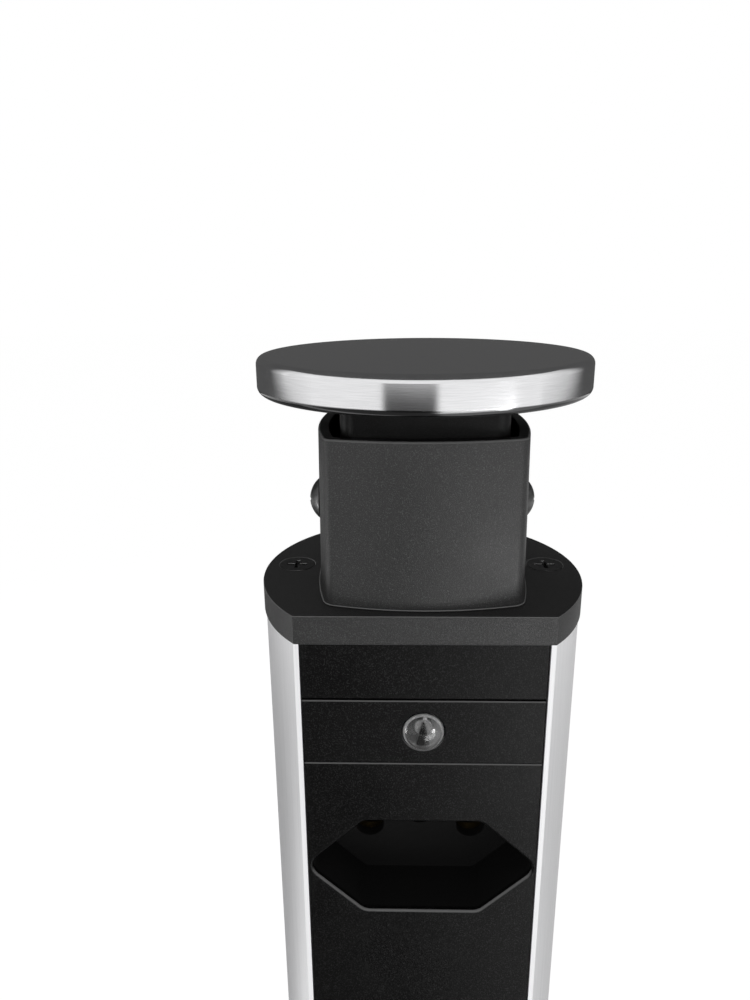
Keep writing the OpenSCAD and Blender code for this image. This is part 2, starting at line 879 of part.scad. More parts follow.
module base_cap() {
    color(black_moulding)
        difference() {
            union() {
                translate([0, 0, z_gland])
                    linear_extrude(base_t)
                        d_outline(collar_r, collar_flat);
                translate([0, 0, z_base - eps])
                    linear_extrude(skirt_h + eps)
                        skirt_outline();
            }
            both_sides()
                translate([port_x, port_y, z_gland])
                    mirror([0, 0, 1])
                        countersink(csk_head_d, port_screw_d, 3 * base_t);
            translate([0, gland_y, z_gland - eps])
                cylinder(h = base_t + 2 * eps, d = gland_d + 2 * fit_gap);
        }
}

module base_screws() {
    color(zinc)
        both_sides()
            translate([port_x, port_y, z_gland])
                mirror([0, 0, 1])
                    countersunk_screw(csk_head_d, port_screw_d, csk_l);
}

// Front plates

// Side view of a plate: depth across, height up, with chamfered front edges
module plate_side(y_front, z_low, z_high, chamfer) {
    polygon([
        [y_front + chamfer, z_low], [y_plate_back, z_low],
        [y_plate_back, z_high], [y_front + chamfer, z_high],
        [y_front, z_high - chamfer], [y_front, z_low + chamfer]
    ]);
}

module plate_slab(half, y_front, z_low, z_high, chamfer) {
    translate([-half, 0, 0])
        rotate([90, 0, 90])
            linear_extrude(2 * half)
                plate_side(y_front, z_low, z_high, chamfer);
}

module plate(z_low, z_high) {
    plate_slab(window_w / 2 - fit_gap, y_face, z_low, z_high, plate_chamfer);
    plate_slab(tongue_half, y_lip_back + fit_gap, z_low, z_high, 0);
}

module blank_plate() {
    color(dark_plate)
        plate(z_blank, z_collar - plate_gap);
}

// Ears behind the indicator plate that hold the lamp's board by its edges
module board_ears() {
    ear_in = board_w / 2 - ear_bite;
    both_sides()
        difference() {
            translate([ear_in, y_plate_back - eps, z_board - board_t - ear_t])
                cube([ear_w, ear_l, board_t + 2 * ear_t]);
            translate([ear_in - eps, board_front - fit_gap, z_board - board_t - fit_gap])
                cube([ear_bite + fit_gap, far, board_t + 2 * fit_gap]);
        }
}

module indicator_plate() {
    color(dark_plate)
        difference() {
            union() {
                plate(z_indicator, z_blank - plate_gap);
                board_ears();
            }
            facing_front(0, y_plate_back + eps, z_lens)
                cylinder(h = far, d = lens_d + 2 * fit_gap);
        }
}

module indicator_lens() {
    r = lens_d / 2;
    ball_r = (r ^ 2 + lens_h ^ 2) / (2 * lens_h);
    color(clear)
        facing_front(0, y_plate_back, z_lens) {
            translate([0, 0, -lens_flange_t])
                cylinder(h = lens_flange_t, r = r + lens_rim);
            cylinder(h = plate_t, r = r);
            intersection() {
                translate([0, 0, plate_t + lens_h - ball_r])
                    sphere(ball_r);
                translate([0, 0, plate_t - lens_h])
                    cylinder(h = 2 * lens_h, r = r);
            }
        }
}

module indicator_led() {
    r = led_d / 2;
    y_tip = y_plate_back + lens_flange_t + stop_gap;
    y_foot = y_tip + r + led_body_l;
    color(clear) {
        facing_front(0, y_foot, z_lens) {
            cylinder(h = led_body_l, r = r);
            translate([0, 0, led_body_l])
                sphere(r);
            cylinder(h = led_rim_t, r = r + led_rim);
        }
        for (x = [-led_leg_at, led_leg_at])
            translate([x - led_leg / 2, y_foot - eps, z_board])
                cube([led_leg, led_leg_l, z_lens + led_leg / 2 - z_board]);
    }
}

module indicator_board() {
    slot_w = bar_w + 3 * fit_gap;
    slot_d = bar_t + 3 * fit_gap;
    color(board_green)
        difference() {
            translate([-board_w / 2, board_front, z_board - board_t])
                cube([board_w, board_back - board_front, board_t]);
            for (x = [-pin_pitch / 2, pin_pitch / 2])
                translate([x - slot_w / 2, y_bar + (bar_t - slot_d) / 2, z_board - 2 * board_t])
                    cube([slot_w, slot_d, 3 * board_t]);
        }
}

// Pin places of one outlet: line, neutral and earth
function pin_places(i) = [
    [pin_pitch / 2, z_socket(i)],
    [-pin_pitch / 2, z_socket(i)],
    [0, z_socket(i) + earth_rise]
];

// The mouth of a recess, widening towards the front
module recess_mouth() {
    grow = (hex_h + 2 * mouth_chamfer) / hex_h;
    linear_extrude(mouth_chamfer + eps, scale = grow)
        rounded(HEX, hex_r, $fn = 32);
}

module socket_front() {
    color(dark_plate)
        difference() {
            union() {
                plate(z_sockets, z_indicator - plate_gap);
                for (i = [0 : socket_count - 1])
                    facing_front(0, y_cup_back, z_socket(i))
                        linear_extrude(y_cup_back - y_plate_back + eps)
                            rounded(grown(HEX, cup_wall), hex_r + cup_wall);
                for (x = [-module_screw_x, module_screw_x], z = module_screw_rows)
                    facing_front(x, y_carrier, z)
                        cylinder(h = y_carrier - y_plate_back + eps, r = module_boss_r);
            }
            for (i = [0 : socket_count - 1]) {
                facing_front(0, y_recess, z_socket(i))
                    linear_extrude(far)
                        rounded(HEX, hex_r);
                facing_front(0, y_face + mouth_chamfer, z_socket(i))
                    recess_mouth();
                for (p = pin_places(i))
                    facing_front(p[0], y_cup_back + eps, p[1])
                        cylinder(h = cup_floor + 2 * eps, d = pin_hole_d);
            }
            for (x = [-module_screw_x, module_screw_x], z = module_screw_rows)
                facing_front(x, y_carrier + eps, z)
                    cylinder(h = y_carrier - y_plate_back - boss_skin, d = small_shank_d + 2 * fit_gap);
        }
}

module lower_plate() {
    color(dark_plate)
        difference() {
            union() {
                plate(z_base, z_sockets - plate_gap);
                both_sides()
                    facing_front(module_screw_x, terminal_y, terminal_screw_z)
                        cylinder(h = terminal_y - y_plate_back + eps, r = module_boss_r);
            }
            both_sides()
                facing_front(module_screw_x, terminal_y + eps, terminal_screw_z)
                    cylinder(h = terminal_y - y_plate_back - boss_skin, d = small_shank_d + 2 * fit_gap);
        }
}

// Contacts behind the outlets

module module_plate(y, t) {
    translate([-module_w / 2, y, z_first - module_margin])
        cube([module_w, t, z_last - z_first + 2 * module_margin]);
}

module module_screw_holes(y) {
    for (x = [-module_screw_x, module_screw_x], z = module_screw_rows)
        facing_front(x, y, z)
            cylinder(h = far, d = small_shank_d + 2 * fit_gap);
}

module contact_carrier() {
    color(black_moulding)
        difference() {
            union() {
                module_plate(y_carrier, module_t);
                for (i = [0 : socket_count - 1], p = pin_places(i))
                    facing_front(p[0], y_carrier + eps, p[1])
                        cylinder(h = y_carrier + eps - y_cup_back, r = sleeve_r + sleeve_wall);
            }
            for (i = [0 : socket_count - 1], p = pin_places(i))
                facing_front(p[0], y_bar + eps, p[1])
                    cylinder(h = far, r = sleeve_r);
            module_screw_holes(y_bar + eps);
        }
}

// A bar with one contact sleeve for each outlet
module bus_bar(x, rise, z_high) {
    z_low = z_terminal + terminal_h - tail_l;
    color(brass)
        difference() {
            union() {
                translate([x - bar_w / 2, y_bar, z_low])
                    cube([bar_w, bar_t, z_high - z_low]);
                for (i = [0 : socket_count - 1])
                    facing_front(x, y_bar + eps, z_socket(i) + rise)
                        cylinder(h = contact_l, r = contact_r);
            }
            for (i = [0 : socket_count - 1])
                facing_front(x, y_bar - eps, z_socket(i) + rise)
                    cylinder(h = far, d = contact_d);
        }
}

module live_bar() {
    bus_bar(pin_pitch / 2, 0, z_bar_end);
}

module neutral_bar() {
    bus_bar(-pin_pitch / 2, 0, z_bar_end);
}

module earth_bar() {
    bus_bar(0, earth_rise, z_last + earth_rise + bar_w);
}

module rear_insulator() {
    rim = 1.2;
    color(white_nylon)
        difference() {
            union() {
                module_plate(y_cover, module_t);
                both_sides()
                    translate([module_w / 2 - rim, y_bar, z_first - module_margin])
                        cube([rim, y_module - y_bar, z_last - z_first + 2 * module_margin]);
                for (x = [-module_screw_x, module_screw_x], z = module_screw_rows)
                    facing_back(x, y_bar, z)
                        cylinder(h = y_cover + eps - y_bar, r = module_boss_r);
            }
            module_screw_holes(y_module + eps);
        }
}

module module_screw(l) {
    head_t = 1.8;
    cylinder(h = head_t, d = small_head_d);
    translate([0, 0, -l])
        cylinder(h = l + eps, d = small_shank_d);
}

module module_screws() {
    into_boss = 8;
    color(zinc) {
        for (x = [-module_screw_x, module_screw_x], z = module_screw_rows)
            facing_back(x, y_module, z)
                module_screw(y_module - y_carrier + into_boss);
        both_sides()
            facing_back(module_screw_x, terminal_y + terminal_d, terminal_screw_z)
                module_screw(terminal_d + into_boss);
    }
}

module terminal_block() {
    slot_w = bar_w + 4 * fit_gap;
    slot_d = bar_t + 4 * fit_gap;
    color(white_nylon)
        difference() {
            translate([-terminal_w / 2, terminal_y, z_terminal])
                cube([terminal_w, terminal_d, terminal_h]);
            for (x = [-pin_pitch / 2, 0, pin_pitch / 2]) {
                translate([
                    x - slot_w / 2,
                    y_bar + (bar_t - slot_d) / 2,
                    z_terminal + terminal_h - tail_l - boss_skin
                ])
                    cube([slot_w, slot_d, far]);
                translate([x, y_bar + bar_t / 2, z_terminal - eps])
                    cylinder(h = terminal_h - tail_l, d = wire_d);
                facing_back(x, y_bar, terminal_clamp_z)
                    cylinder(h = far, d = clamp_screw_d + 2 * fit_gap);
            }
            both_sides()
                facing_back(module_screw_x, terminal_y - eps, terminal_screw_z)
                    cylinder(h = far, d = small_shank_d + 2 * fit_gap);
        }
}

module terminal_screws() {
    y_point = y_bar + bar_t + fit_gap;
    l = terminal_y + terminal_d - point_gap - y_point;
    color(zinc)
        for (x = [-pin_pitch / 2, 0, pin_pitch / 2])
            facing_back(x, y_point, terminal_clamp_z)
                difference() {
                    cylinder(h = l, d = clamp_screw_d);
                    translate([-far / 2, -clamp_slot / 2, l - clamp_slot_d])
                        cube([far, clamp_slot, far]);
                }
}

// Gland for the supply lead

module gland_hexagon(h) {
    cylinder(h = h, d = gland_hex / cos(30), $fn = 6);
}

module gland_body() {
    color(black_moulding)
        translate([0, gland_y, z_gland])
            difference() {
                union() {
                    cylinder(h = base_t + locknut_t + thread_end, d = gland_d);
                    translate([0, 0, -gland_flange_t])
                        gland_hexagon(gland_flange_t);
                    translate([0, 0, -gland_flange_t - gland_thread_l])
                        cylinder(h = gland_thread_l + eps, d = gland_neck_d);
                }
                translate([0, 0, -far / 2])
                    cylinder(h = far, d = gland_bore_d);
            }
}

module gland_locknut() {
    color(black_moulding)
        translate([0, gland_y, z_base])
            difference() {
                gland_hexagon(locknut_t);
                translate([0, 0, -eps])
                    cylinder(h = locknut_t + 2 * eps, d = gland_d + 2 * fit_gap);
            }
}

module gland_cap() {
    color(black_moulding)
        translate([0, gland_y, z_gland_cap])
            difference() {
                rotate_extrude()
                    difference() {
                        union() {
                            translate([0, gland_dome])
                                square([gland_cap_r, gland_cap_l - gland_dome]);
                            square([gland_cap_r - gland_dome, gland_cap_l]);
                            translate([gland_cap_r - gland_dome, gland_dome])
                                circle(gland_dome);
                        }
                        translate([-far, -far])
                            square([far, 2 * far]);
                    }
                translate([0, 0, -eps])
                    cylinder(h = far, d = gland_bore_d);
                translate([0, 0, gland_cap_l - gland_thread_l - thread_end])
                    cylinder(h = far, d = gland_neck_d + 4 * fit_gap);
                for (i = [0 : gland_grips - 1])
                    rotate(360 * i / gland_grips)
                        translate([gland_cap_r + gland_grip_r / 2, 0, gland_dome + thread_end])
                            cylinder(h = far, r = gland_grip_r);
            }
}

// Desk flange and what sits in its tube

module flange_section() {
    translate([bore_r, 0])
        square([flange_r - bore_r, flange_h - flange_edge]);
    translate([bore_r, 0])
        square([flange_r - flange_edge - bore_r, flange_h]);
    translate([flange_r - flange_edge, flange_h - flange_edge])
        circle(flange_edge);
    translate([bore_r, -spigot_h])
        square([spigot_r - bore_r, spigot_h + eps]);
    translate([bore_r, -tube_l])
        square([tube_wall, tube_l]);
}

module friction_pad(grow) {
    intersection() {
        translate([0, 0, friction_z - grow])
            difference() {
                cylinder(h = friction_h + 2 * grow, r = friction_in_r + friction_t + grow);
                translate([0, 0, -eps])
                    cylinder(h = far, r = friction_in_r - grow);
            }
        translate([0, -friction_w / 2 - grow, -far])
            cube([far, friction_w + 2 * grow, 2 * far]);
    }
}

module friction_pads() {
    color(grey_felt)
        both_sides()
            friction_pad(0);
}

// Flat wall that keeps the tower from turning, and the ledge on top of it
module guide_front() {
    wall_in = bore_r + tube_wall / 2;
    difference() {
        intersection() {
            translate([0, 0, -tube_l])
                cylinder(h = tube_l + z_ledge, r = wall_in);
            union() {
                translate([-far, -guide_flat - guide_wall, -tube_l])
                    cube([2 * far, guide_wall, far]);
                translate([-far, -far, z_ledge - ledge_t])
                    cube([2 * far, far - guide_flat, ledge_t]);
            }
        }
        translate([-relief_w / 2, -guide_flat - relief_d, -far])
            cube([relief_w, far, 2 * far]);
    }
}

module desk_flange() {
    color(black_moulding)
        difference() {
            union() {
                rotate_extrude($fn = 96)
                    flange_section();
                guide_front();
            }
            both_sides()
                friction_pad(fit_gap);
            facing_front(0, key_screw_y, z_key + key_h / 2)
                countersink(small_head_d, small_shank_d, tube_wall * 2);
        }
}

module guide_key() {
    color(white_nylon)
        difference() {
            intersection() {
                translate([-key_w / 2, key_in, z_key])
                    cube([key_w, far, key_h]);
                translate([0, 0, z_key])
                    cylinder(h = key_h, r = bore_r - fit_gap / 2);
            }
            facing_front(0, far, z_key + key_h / 2)
                cylinder(h = 2 * far, d = small_shank_d + 2 * fit_gap);
        }
}

module key_screw() {
    color(zinc)
        facing_back(0, key_screw_y, z_key + key_h / 2)
            countersunk_screw(small_head_d, small_shank_d, key_screw_y - key_in - point_gap);
}

// Clamp under the desk

module clamp_washer() {
    color(rubber)
        translate([0, 0, z_washer])
            difference() {
                cylinder(h = washer_t, r = nut_bore_r + washer_w);
                translate([0, 0, -eps])
                    cylinder(h = far, r = nut_bore_r);
            }
}

module clamp_nut() {
    color(black_moulding)
        translate([0, 0, z_nut])
            difference() {
                union() {
                    cylinder(h = nut_h, r = nut_r);
                    for (i = [0 : grip_count - 1])
                        rotate(360 * i / grip_count)
                            translate([nut_r, 0, 0])
                                cylinder(h = nut_h, r = grip_r);
                }
                translate([0, 0, -eps])
                    cylinder(h = far, r = nut_bore_r);
            }
}

lid_cap();
lid_pad();
lid_carrier();
latch_plunger();
lid_spring();
neck_housing();
neck_side_screws();
neck_base_screws();
latch_case();
top_collar();
collar_screws();
body_extrusion();
blank_plate();
indicator_plate();
indicator_lens();
indicator_led();
indicator_board();
socket_front();
contact_carrier();
live_bar();
neutral_bar();
earth_bar();
rear_insulator();
module_screws();
terminal_block();
terminal_screws();
lower_plate();
base_cap();
base_screws();
gland_body();
gland_locknut();
gland_cap();
desk_flange();
guide_key();
key_screw();
friction_pads();
clamp_washer();
clamp_nut();
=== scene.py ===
"""Looks of a pop-up desk socket: rounded edges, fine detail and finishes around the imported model."""

import math

import bmesh
import bpy
from mathutils import Matrix, Vector
from mathutils.geometry import tessellate_polygon


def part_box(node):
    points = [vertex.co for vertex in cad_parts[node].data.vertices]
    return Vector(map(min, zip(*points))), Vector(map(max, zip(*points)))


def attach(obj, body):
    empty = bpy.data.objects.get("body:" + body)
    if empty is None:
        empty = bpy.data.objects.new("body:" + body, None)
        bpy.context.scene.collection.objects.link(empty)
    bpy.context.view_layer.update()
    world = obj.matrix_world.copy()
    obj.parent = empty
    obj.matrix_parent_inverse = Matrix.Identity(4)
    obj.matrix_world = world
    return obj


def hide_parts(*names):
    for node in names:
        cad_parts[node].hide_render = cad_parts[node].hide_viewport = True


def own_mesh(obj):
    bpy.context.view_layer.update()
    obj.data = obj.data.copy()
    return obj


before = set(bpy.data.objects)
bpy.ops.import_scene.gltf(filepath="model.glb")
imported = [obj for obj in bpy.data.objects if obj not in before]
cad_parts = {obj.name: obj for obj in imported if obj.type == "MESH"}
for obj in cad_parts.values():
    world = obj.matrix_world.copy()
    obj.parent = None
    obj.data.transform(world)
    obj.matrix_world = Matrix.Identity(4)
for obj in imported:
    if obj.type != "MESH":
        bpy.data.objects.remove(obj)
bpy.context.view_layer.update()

# Sizes in metres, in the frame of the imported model

EDGE = 0.0002
FACE_EDGE = 0.00025
CLEAR = 0.0001
MERGE_GAP = 1e-7
LATHE_STEPS = 160
RING_STEPS = 192
LENS_STEPS = 72
BEAD_STEPS = 48
SHARP_ANGLE = math.radians(38)
DOME_ANGLE = math.radians(50)

LID_EDGE = 0.0012
LID_SHEET = 0.0009
LID_ROLL = 0.0012
LID_LIP = 0.0014
LID_LIP_T = 0.0004

NECK_BOW = 0.055
NECK_CORNER = 0.0022
NECK_DRAFT = 0.0003
NECK_BEAD = 0.00035
NECK_RIM = 0.0004
NECK_WALL = 0.0018
NECK_FLOOR = 0.0045
POCKET_CORNER = 0.0003
RIB_H = 0.0013
RIB_T = 0.0016
RIB_AT = 0.007
RIB_DROP = 0.007

SPRING_WIRE = 0.0012
SPRING_TURNS = 8
SPRING_CLOSED = 0.001224

LIP_T = 0.0014
WINDOW_HALF = 0.02005
PLATE_CORNER = 0.0003
BOSS_R = 0.0026
BOSS_BORE_R = 0.00135
BOSS_X = 0.0152
EAR_BITE = 0.0013
EAR_W = 0.003
EAR_L = 0.009
EAR_T = 0.0015

HEX_W = 0.0384
HEX_H = 0.0192
HEX_SLANT = math.radians(43.3)
HEX_R = 0.0026
MOUTH = 0.0005
RECESS_DEPTH = 0.0107
CUP_WALL = 0.0011
CUP_FLOOR = 0.002
PIN_PITCH = 0.019
PIN_HOLE_R = 0.0026
PIN_LEAD = 0.0003
PIN_LEAD_SOFT = 0.00009
EARTH_RISE = 0.003
FLOOR_EDGE = 0.00015
FIRST_OUTLET = 0.0217
OUTLET_PITCH = 0.045

LENS_R = 0.00345
DISH_R = 0.0032
DISH_DEEP = 0.0016
DISH_SET = 0.0003
DISH_SLANT = 0.7
# Painted shade and light on the lamp's dish: how far its dark and pale ends lie from the lens's middle
DISH_SHADE_REACH = 0.00192
DISH_LIGHT_REACH = 0.00224
# Rim of the dish, painted pale as a painted highlight for the lit ring at the dome's edge
RIM_W = 0.0005
RIM_T = 0.0003
# Dark wedge before the dish, a painted reflection: its top, foot, half width and thickness
WEDGE_TOP = 0.0021
WEDGE_FOOT = 0.0019
WEDGE_HALF = 0.00085
WEDGE_T = 0.0004
BEAD_R = 0.0012
BEAD_UP = 0.0006
BEAD_FRONT = -0.0004
BEAD_BACK = -0.0012

FLANGE_BORE_R = 0.0284
FLANGE_EDGE = 0.0022
RING_FOOT_EDGE = 0.0003
BORE_EDGE = 0.0005
SPIGOT_R = 0.0315
SPIGOT_H = 0.008
SPIGOT_EDGE = 0.0004
TUBE_R = 0.0301
GUIDE_FLAT = 0.019232
GUIDE_WALL = 0.0028
GUIDE_ROOT = 0.0008
RELIEF_HALF = 0.00425
RELIEF_D = 0.00127
LEDGE_Z = -0.0019
LEDGE_T = 0.002
THREAD_PITCH = 0.003
THREAD_CORE_R = 0.0302
THREAD_CREST_R = 0.031
THREAD_ROWS = [0, 0.15, 0.75, 1, 1, 0.75, 0.15, 0]
STRIP_HALF = math.radians(10)
STRIP_FADE = math.radians(6)
KEY_BOSS_R = 0.0037
KEY_HEAD_R = 0.0026

NUT_BORE_R = 0.0313
NUT_R = 0.0358
GRIPS = 8
GRIP_R = 0.004
NUT_BLEND = 0.0006
NUT_EDGE = 0.0007
WASHER_EDGE = 0.0005

CAP_SOFT = 0.0004
SMALL_SOFT = 0.0003
PROFILE_SOFT = 0.00015
SCREW_SOFT = 0.0001
WELD_GAP = 0.000002
FLAT_ANGLE = math.radians(0.6)
SOFT_ANGLE = math.radians(32)

# Finishes, painted highlights and painted shade: greys, ranges of a surface normal's upward or forward
# part, depths, and scales per metre

# Painted highlight on upward-looking rounded edges: its grey and the ranges of the normal where it shows
EDGE_HIGHLIGHT_GREY = 0.13
HIGHLIGHT_RISE = (0.12, 0.5)
HIGHLIGHT_FALL = (0.88, 0.98)
HIGHLIGHT_FRONT = (-0.35, -0.15)
# Painted shade in the front plates' recesses: its grey, its roughness, and the depths behind the front face
# where it begins and is full
RECESS_SHADE_GREY = 0.004
SUNK_ROUGH = 0.85
RECESS_SHADE_FROM = 0.0006
RECESS_SHADE_TO = 0.0012
SPECKS = (0.52, 0.78)
TURNED_LINES = 9000.0
TURNED_BREAKS = (1, 6, 6)
TURNED_DEPTH = 0.000002
SMUDGES = 90.0
SIDE_GRAIN = 0.5
SIDE_GRAIN_AT = (0.1, 0.9)
# Painted shade on the lid's rolled lower edge: the share of colour left, and the downward part of the
# normal it spans
ROLL_SHADE = 0.12
ROLL_SHADE_AT = (-0.14, -0.01)
DRAWN_LINES = (5000, 5000, 25)
DRAWN_DEPTH = 0.000004
ETCH = 9000.0
STAINS = 900.0
HANDLING = 2500.0
STAIN_DEPTH = 0.00001
HAZE = 1500.0

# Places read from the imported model

lid_low, lid_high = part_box("lid_cap")
neck_low, neck_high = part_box("neck_housing")
profile_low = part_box("body_extrusion")[0]
blank_low, blank_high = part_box("blank_plate")
indicator_low, indicator_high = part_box("indicator_plate")
socket_low, socket_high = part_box("socket_front")
lower_low, lower_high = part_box("lower_plate")
lens_low, lens_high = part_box("indicator_lens")
board_low, board_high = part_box("indicator_board")
terminal_low, terminal_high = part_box("terminal_block")
flange_low, flange_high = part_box("desk_flange")
key_low, key_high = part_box("key_screw")
washer_low, washer_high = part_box("clamp_washer")
nut_low, nut_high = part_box("clamp_nut")
spring_low, spring_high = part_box("lid_spring")

FACE_Y = blank_low.y
PLATE_BACK = blank_high.y
TONGUE_HALF = blank_high.x
TONGUE_Y = profile_low.y + LIP_T + CLEAR
PLATE_HALF = WINDOW_HALF - CLEAR
LENS_Z = (lens_low.z + lens_high.z) / 2
OUTLETS = [socket_low.z + FIRST_OUTLET + OUTLET_PITCH * i for i in range(3)]


# Outlines

def circle(r, steps=LATHE_STEPS, x=0.0, y=0.0):
    angles = [2 * math.pi * i / steps for i in range(steps)]
    return [(x + r * math.cos(a), y + r * math.sin(a)) for a in angles]


def arc(x, y, r, start, end, steps):
    """Points on a circle from one angle to another, both included, in radians."""
    angles = [start + (end - start) * i / steps for i in range(steps + 1)]
    return [(x + r * math.cos(a), y + r * math.sin(a)) for a in angles]


def fillet(corners, radius, steps=6):
    """A closed outline with round corners. A corner may give its own radius as a third number."""
    made = []
    for i, corner in enumerate(corners):
        here = Vector(corner[:2])
        r = corner[2] if len(corner) > 2 else radius
        if r <= 0:
            made.append(tuple(here))
            continue
        before = (Vector(corners[i - 1][:2]) - here).normalized()
        after = (Vector(corners[(i + 1) % len(corners)][:2]) - here).normalized()
        half = before.angle(after) / 2
        centre = here + (before + after).normalized() * r / math.sin(half)
        first = here + before * r / math.tan(half) - centre
        last = here + after * r / math.tan(half) - centre
        start = math.atan2(first.y, first.x)
        turn = (math.atan2(last.y, last.x) - start + math.pi) % (2 * math.pi) - math.pi
        made += arc(centre.x, centre.y, r, start, start + turn, steps)
    return made


def offset(loop, grow):
    """A counter-clockwise outline with every side moved out."""
    made = []
    for i, here in enumerate(loop):
        before = (Vector(here) - Vector(loop[i - 1])).normalized()
        after = (Vector(loop[(i + 1) % len(loop)]) - Vector(here)).normalized()
        out_before = Vector((before.y, -before.x))
        out_after = Vector((after.y, -after.x))
        shift = (out_before + out_after) * grow / (1 + out_before.dot(out_after))
        made.append((here[0] + shift.x, here[1] + shift.y))
    return made


def bowed_square(half_x, half_y, bow, corner, steps=10):
    """A square with four bowed walls and round corners."""
    x, y = half_x - corner, half_y - corner
    for _ in range(8):
        sides = ((half_x, y), (half_y, x))
        x, y = (half - bow + math.sqrt((bow - corner) ** 2 - at ** 2) for half, at in sides)
    right = math.atan2(y, x - half_x + bow)
    top = math.atan2(y - half_y + bow, x)
    quarter = arc(half_x - bow, 0, bow, 0, right, steps)[:-1]
    quarter += arc(x, y, corner, right, top, steps)
    quarter += arc(0, half_y - bow, bow, top, math.pi / 2, steps)[1:]
    half = quarter + [(-x, y) for x, y in quarter[-2::-1]]
    return half + [(x, -y) for x, y in half[-2:0:-1]]


def upright(loop, z):
    return [(x, y, z) for x, y in loop]


def facing(loop, y):
    return [(x, y, z) for x, z in loop]


def rounding(low, high, edge, steps=4):
    """Pairs of depth and growth along a wall with rounded ends."""
    turns = [math.pi / 2 * i / steps for i in range(steps + 1)]
    first = [(low + edge * (1 - math.cos(t)), -edge * (1 - math.sin(t))) for t in turns]
    last = [(low + high - depth, grow) for depth, grow in reversed(first)]
    return first + last


# Meshes

class Shell:
    """Rings of points and the faces between them, gathered for one mesh."""

    def __init__(self):
        self.points = []
        self.faces = []
        self.at = Matrix.Identity(4)

    def ring(self, points):
        first = len(self.points)
        self.points += [tuple(self.at @ Vector(p)) for p in points]
        return list(range(first, len(self.points)))

    def wall(self, *rings):
        for low, high in zip(rings, rings[1:]):
            for i, here in enumerate(low):
                j = (i + 1) % len(low)
                self.faces.append((here, low[j], high[j], high[i]))

    def cap(self, outer, holes=()):
        if not holes:
            self.faces.append(tuple(outer))
            return
        loops = [outer, *holes]
        flat = [i for loop in loops for i in loop]
        polygons = [[Vector(self.points[i]) for i in loop] for loop in loops]
        self.faces += [tuple(flat[k] for k in triangle) for triangle in tessellate_polygon(polygons)]

    def lathe(self, profile, steps=LATHE_STEPS):
        """Turns a closed outline of radius and height round an upright axis."""
        rings = [self.ring(upright(circle(r, steps), z)) for r, z in profile]
        self.wall(*rings, rings[0])

    def stack(self, place, loop, low, high, edge, sign=1):
        rows = rounding(low, high, edge)
        return [self.ring(place(offset(loop, sign * grow), depth)) for depth, grow in rows]

    def slab(self, place, outer, holes, low, high, edge=EDGE):
        """An outline with holes, drawn out from one depth to another, with rounded edges."""
        walls = [self.stack(place, outer, low, high, edge)]
        walls += [self.stack(place, hole, low, high, edge, -1) for hole in holes]
        for wall in walls:
            self.wall(*wall)
        for end in (0, -1):
            self.cap(walls[0][end], [wall[end] for wall in walls[1:]])

    def made(self, name, material, body, nodes, slot, sharp=SHARP_ANGLE):
        """The finished piece, riding on a body and standing in for CAD nodes, if any are named."""
        mesh = bpy.data.meshes.new(name)
        mesh.from_pydata(self.points, [], self.faces)
        work = bmesh.new()
        work.from_mesh(mesh)
        bmesh.ops.remove_doubles(work, verts=work.verts, dist=MERGE_GAP)
        bmesh.ops.recalc_face_normals(work, faces=work.faces)
        work.to_mesh(mesh)
        work.free()
        mesh.shade_smooth()
        mesh.set_sharp_from_angle(angle=sharp)
        mesh.materials.append(material)
        piece = bpy.data.objects.new(name, mesh)
        bpy.context.scene.collection.objects.link(piece)
        weighted = piece.modifiers.new("weighted", "WEIGHTED_NORMAL")
        weighted.keep_sharp = True
        weighted.weight = 100
        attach(piece, body)
        if nodes:
            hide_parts(*nodes)
        return piece


# Materials

def grey(level):
    return (level, level, level)


def new_material(name):
    material = bpy.data.materials.new(name)
    material.use_nodes = True
    tree = material.node_tree
    return material, tree, tree.nodes["Principled BSDF"]


def add(tree, kind, **values):
    node = tree.nodes.new(kind)
    for key, value in values.items():
        if key in node.inputs:
            node.inputs[key].default_value = value
        else:
            setattr(node, key, value)
    return node


def noise(tree, vector, scale, detail=2.0, rough=0.5):
    node = add(tree, "ShaderNodeTexNoise", Scale=scale, Detail=detail, Roughness=rough)
    tree.links.new(vector, node.inputs["Vector"])
    return node.outputs["Fac"]


def spread(tree, value, low, high, from_low=0.3, from_high=0.7):
    """A value's range, by default the one that noise mostly fills, spread over another one."""
    node = add(tree, "ShaderNodeMapRange", **{
        "From Min": from_low, "From Max": from_high, "To Min": low, "To Max": high,
    })
    tree.links.new(value, node.inputs["Value"])
    return node.outputs["Result"]


def shade_between(tree, factor, dark, light):
    node = add(tree, "ShaderNodeValToRGB")
    node.color_ramp.elements[0].color = (*dark, 1)
    node.color_ramp.elements[1].color = (*light, 1)
    tree.links.new(factor, node.inputs["Fac"])
    return node.outputs["Color"]


def bump(tree, shader, height, distance):
    node = add(tree, "ShaderNodeBump", Strength=1.0, Distance=distance)
    tree.links.new(height, node.inputs["Height"])
    tree.links.new(node.outputs["Normal"], shader.inputs["Normal"])


def place_of(tree):
    return add(tree, "ShaderNodeTexCoord").outputs["Object"]


def stretched(tree, vector, scale):
    node = add(tree, "ShaderNodeMapping")
    node.inputs["Scale"].default_value = scale
    tree.links.new(vector, node.inputs["Vector"])
    return node.outputs["Vector"]


def times(tree, first, second):
    node = add(tree, "ShaderNodeMath", operation="MULTIPLY")
    tree.links.new(first, node.inputs[0])
    tree.links.new(second, node.inputs[1])
    return node.outputs["Value"]


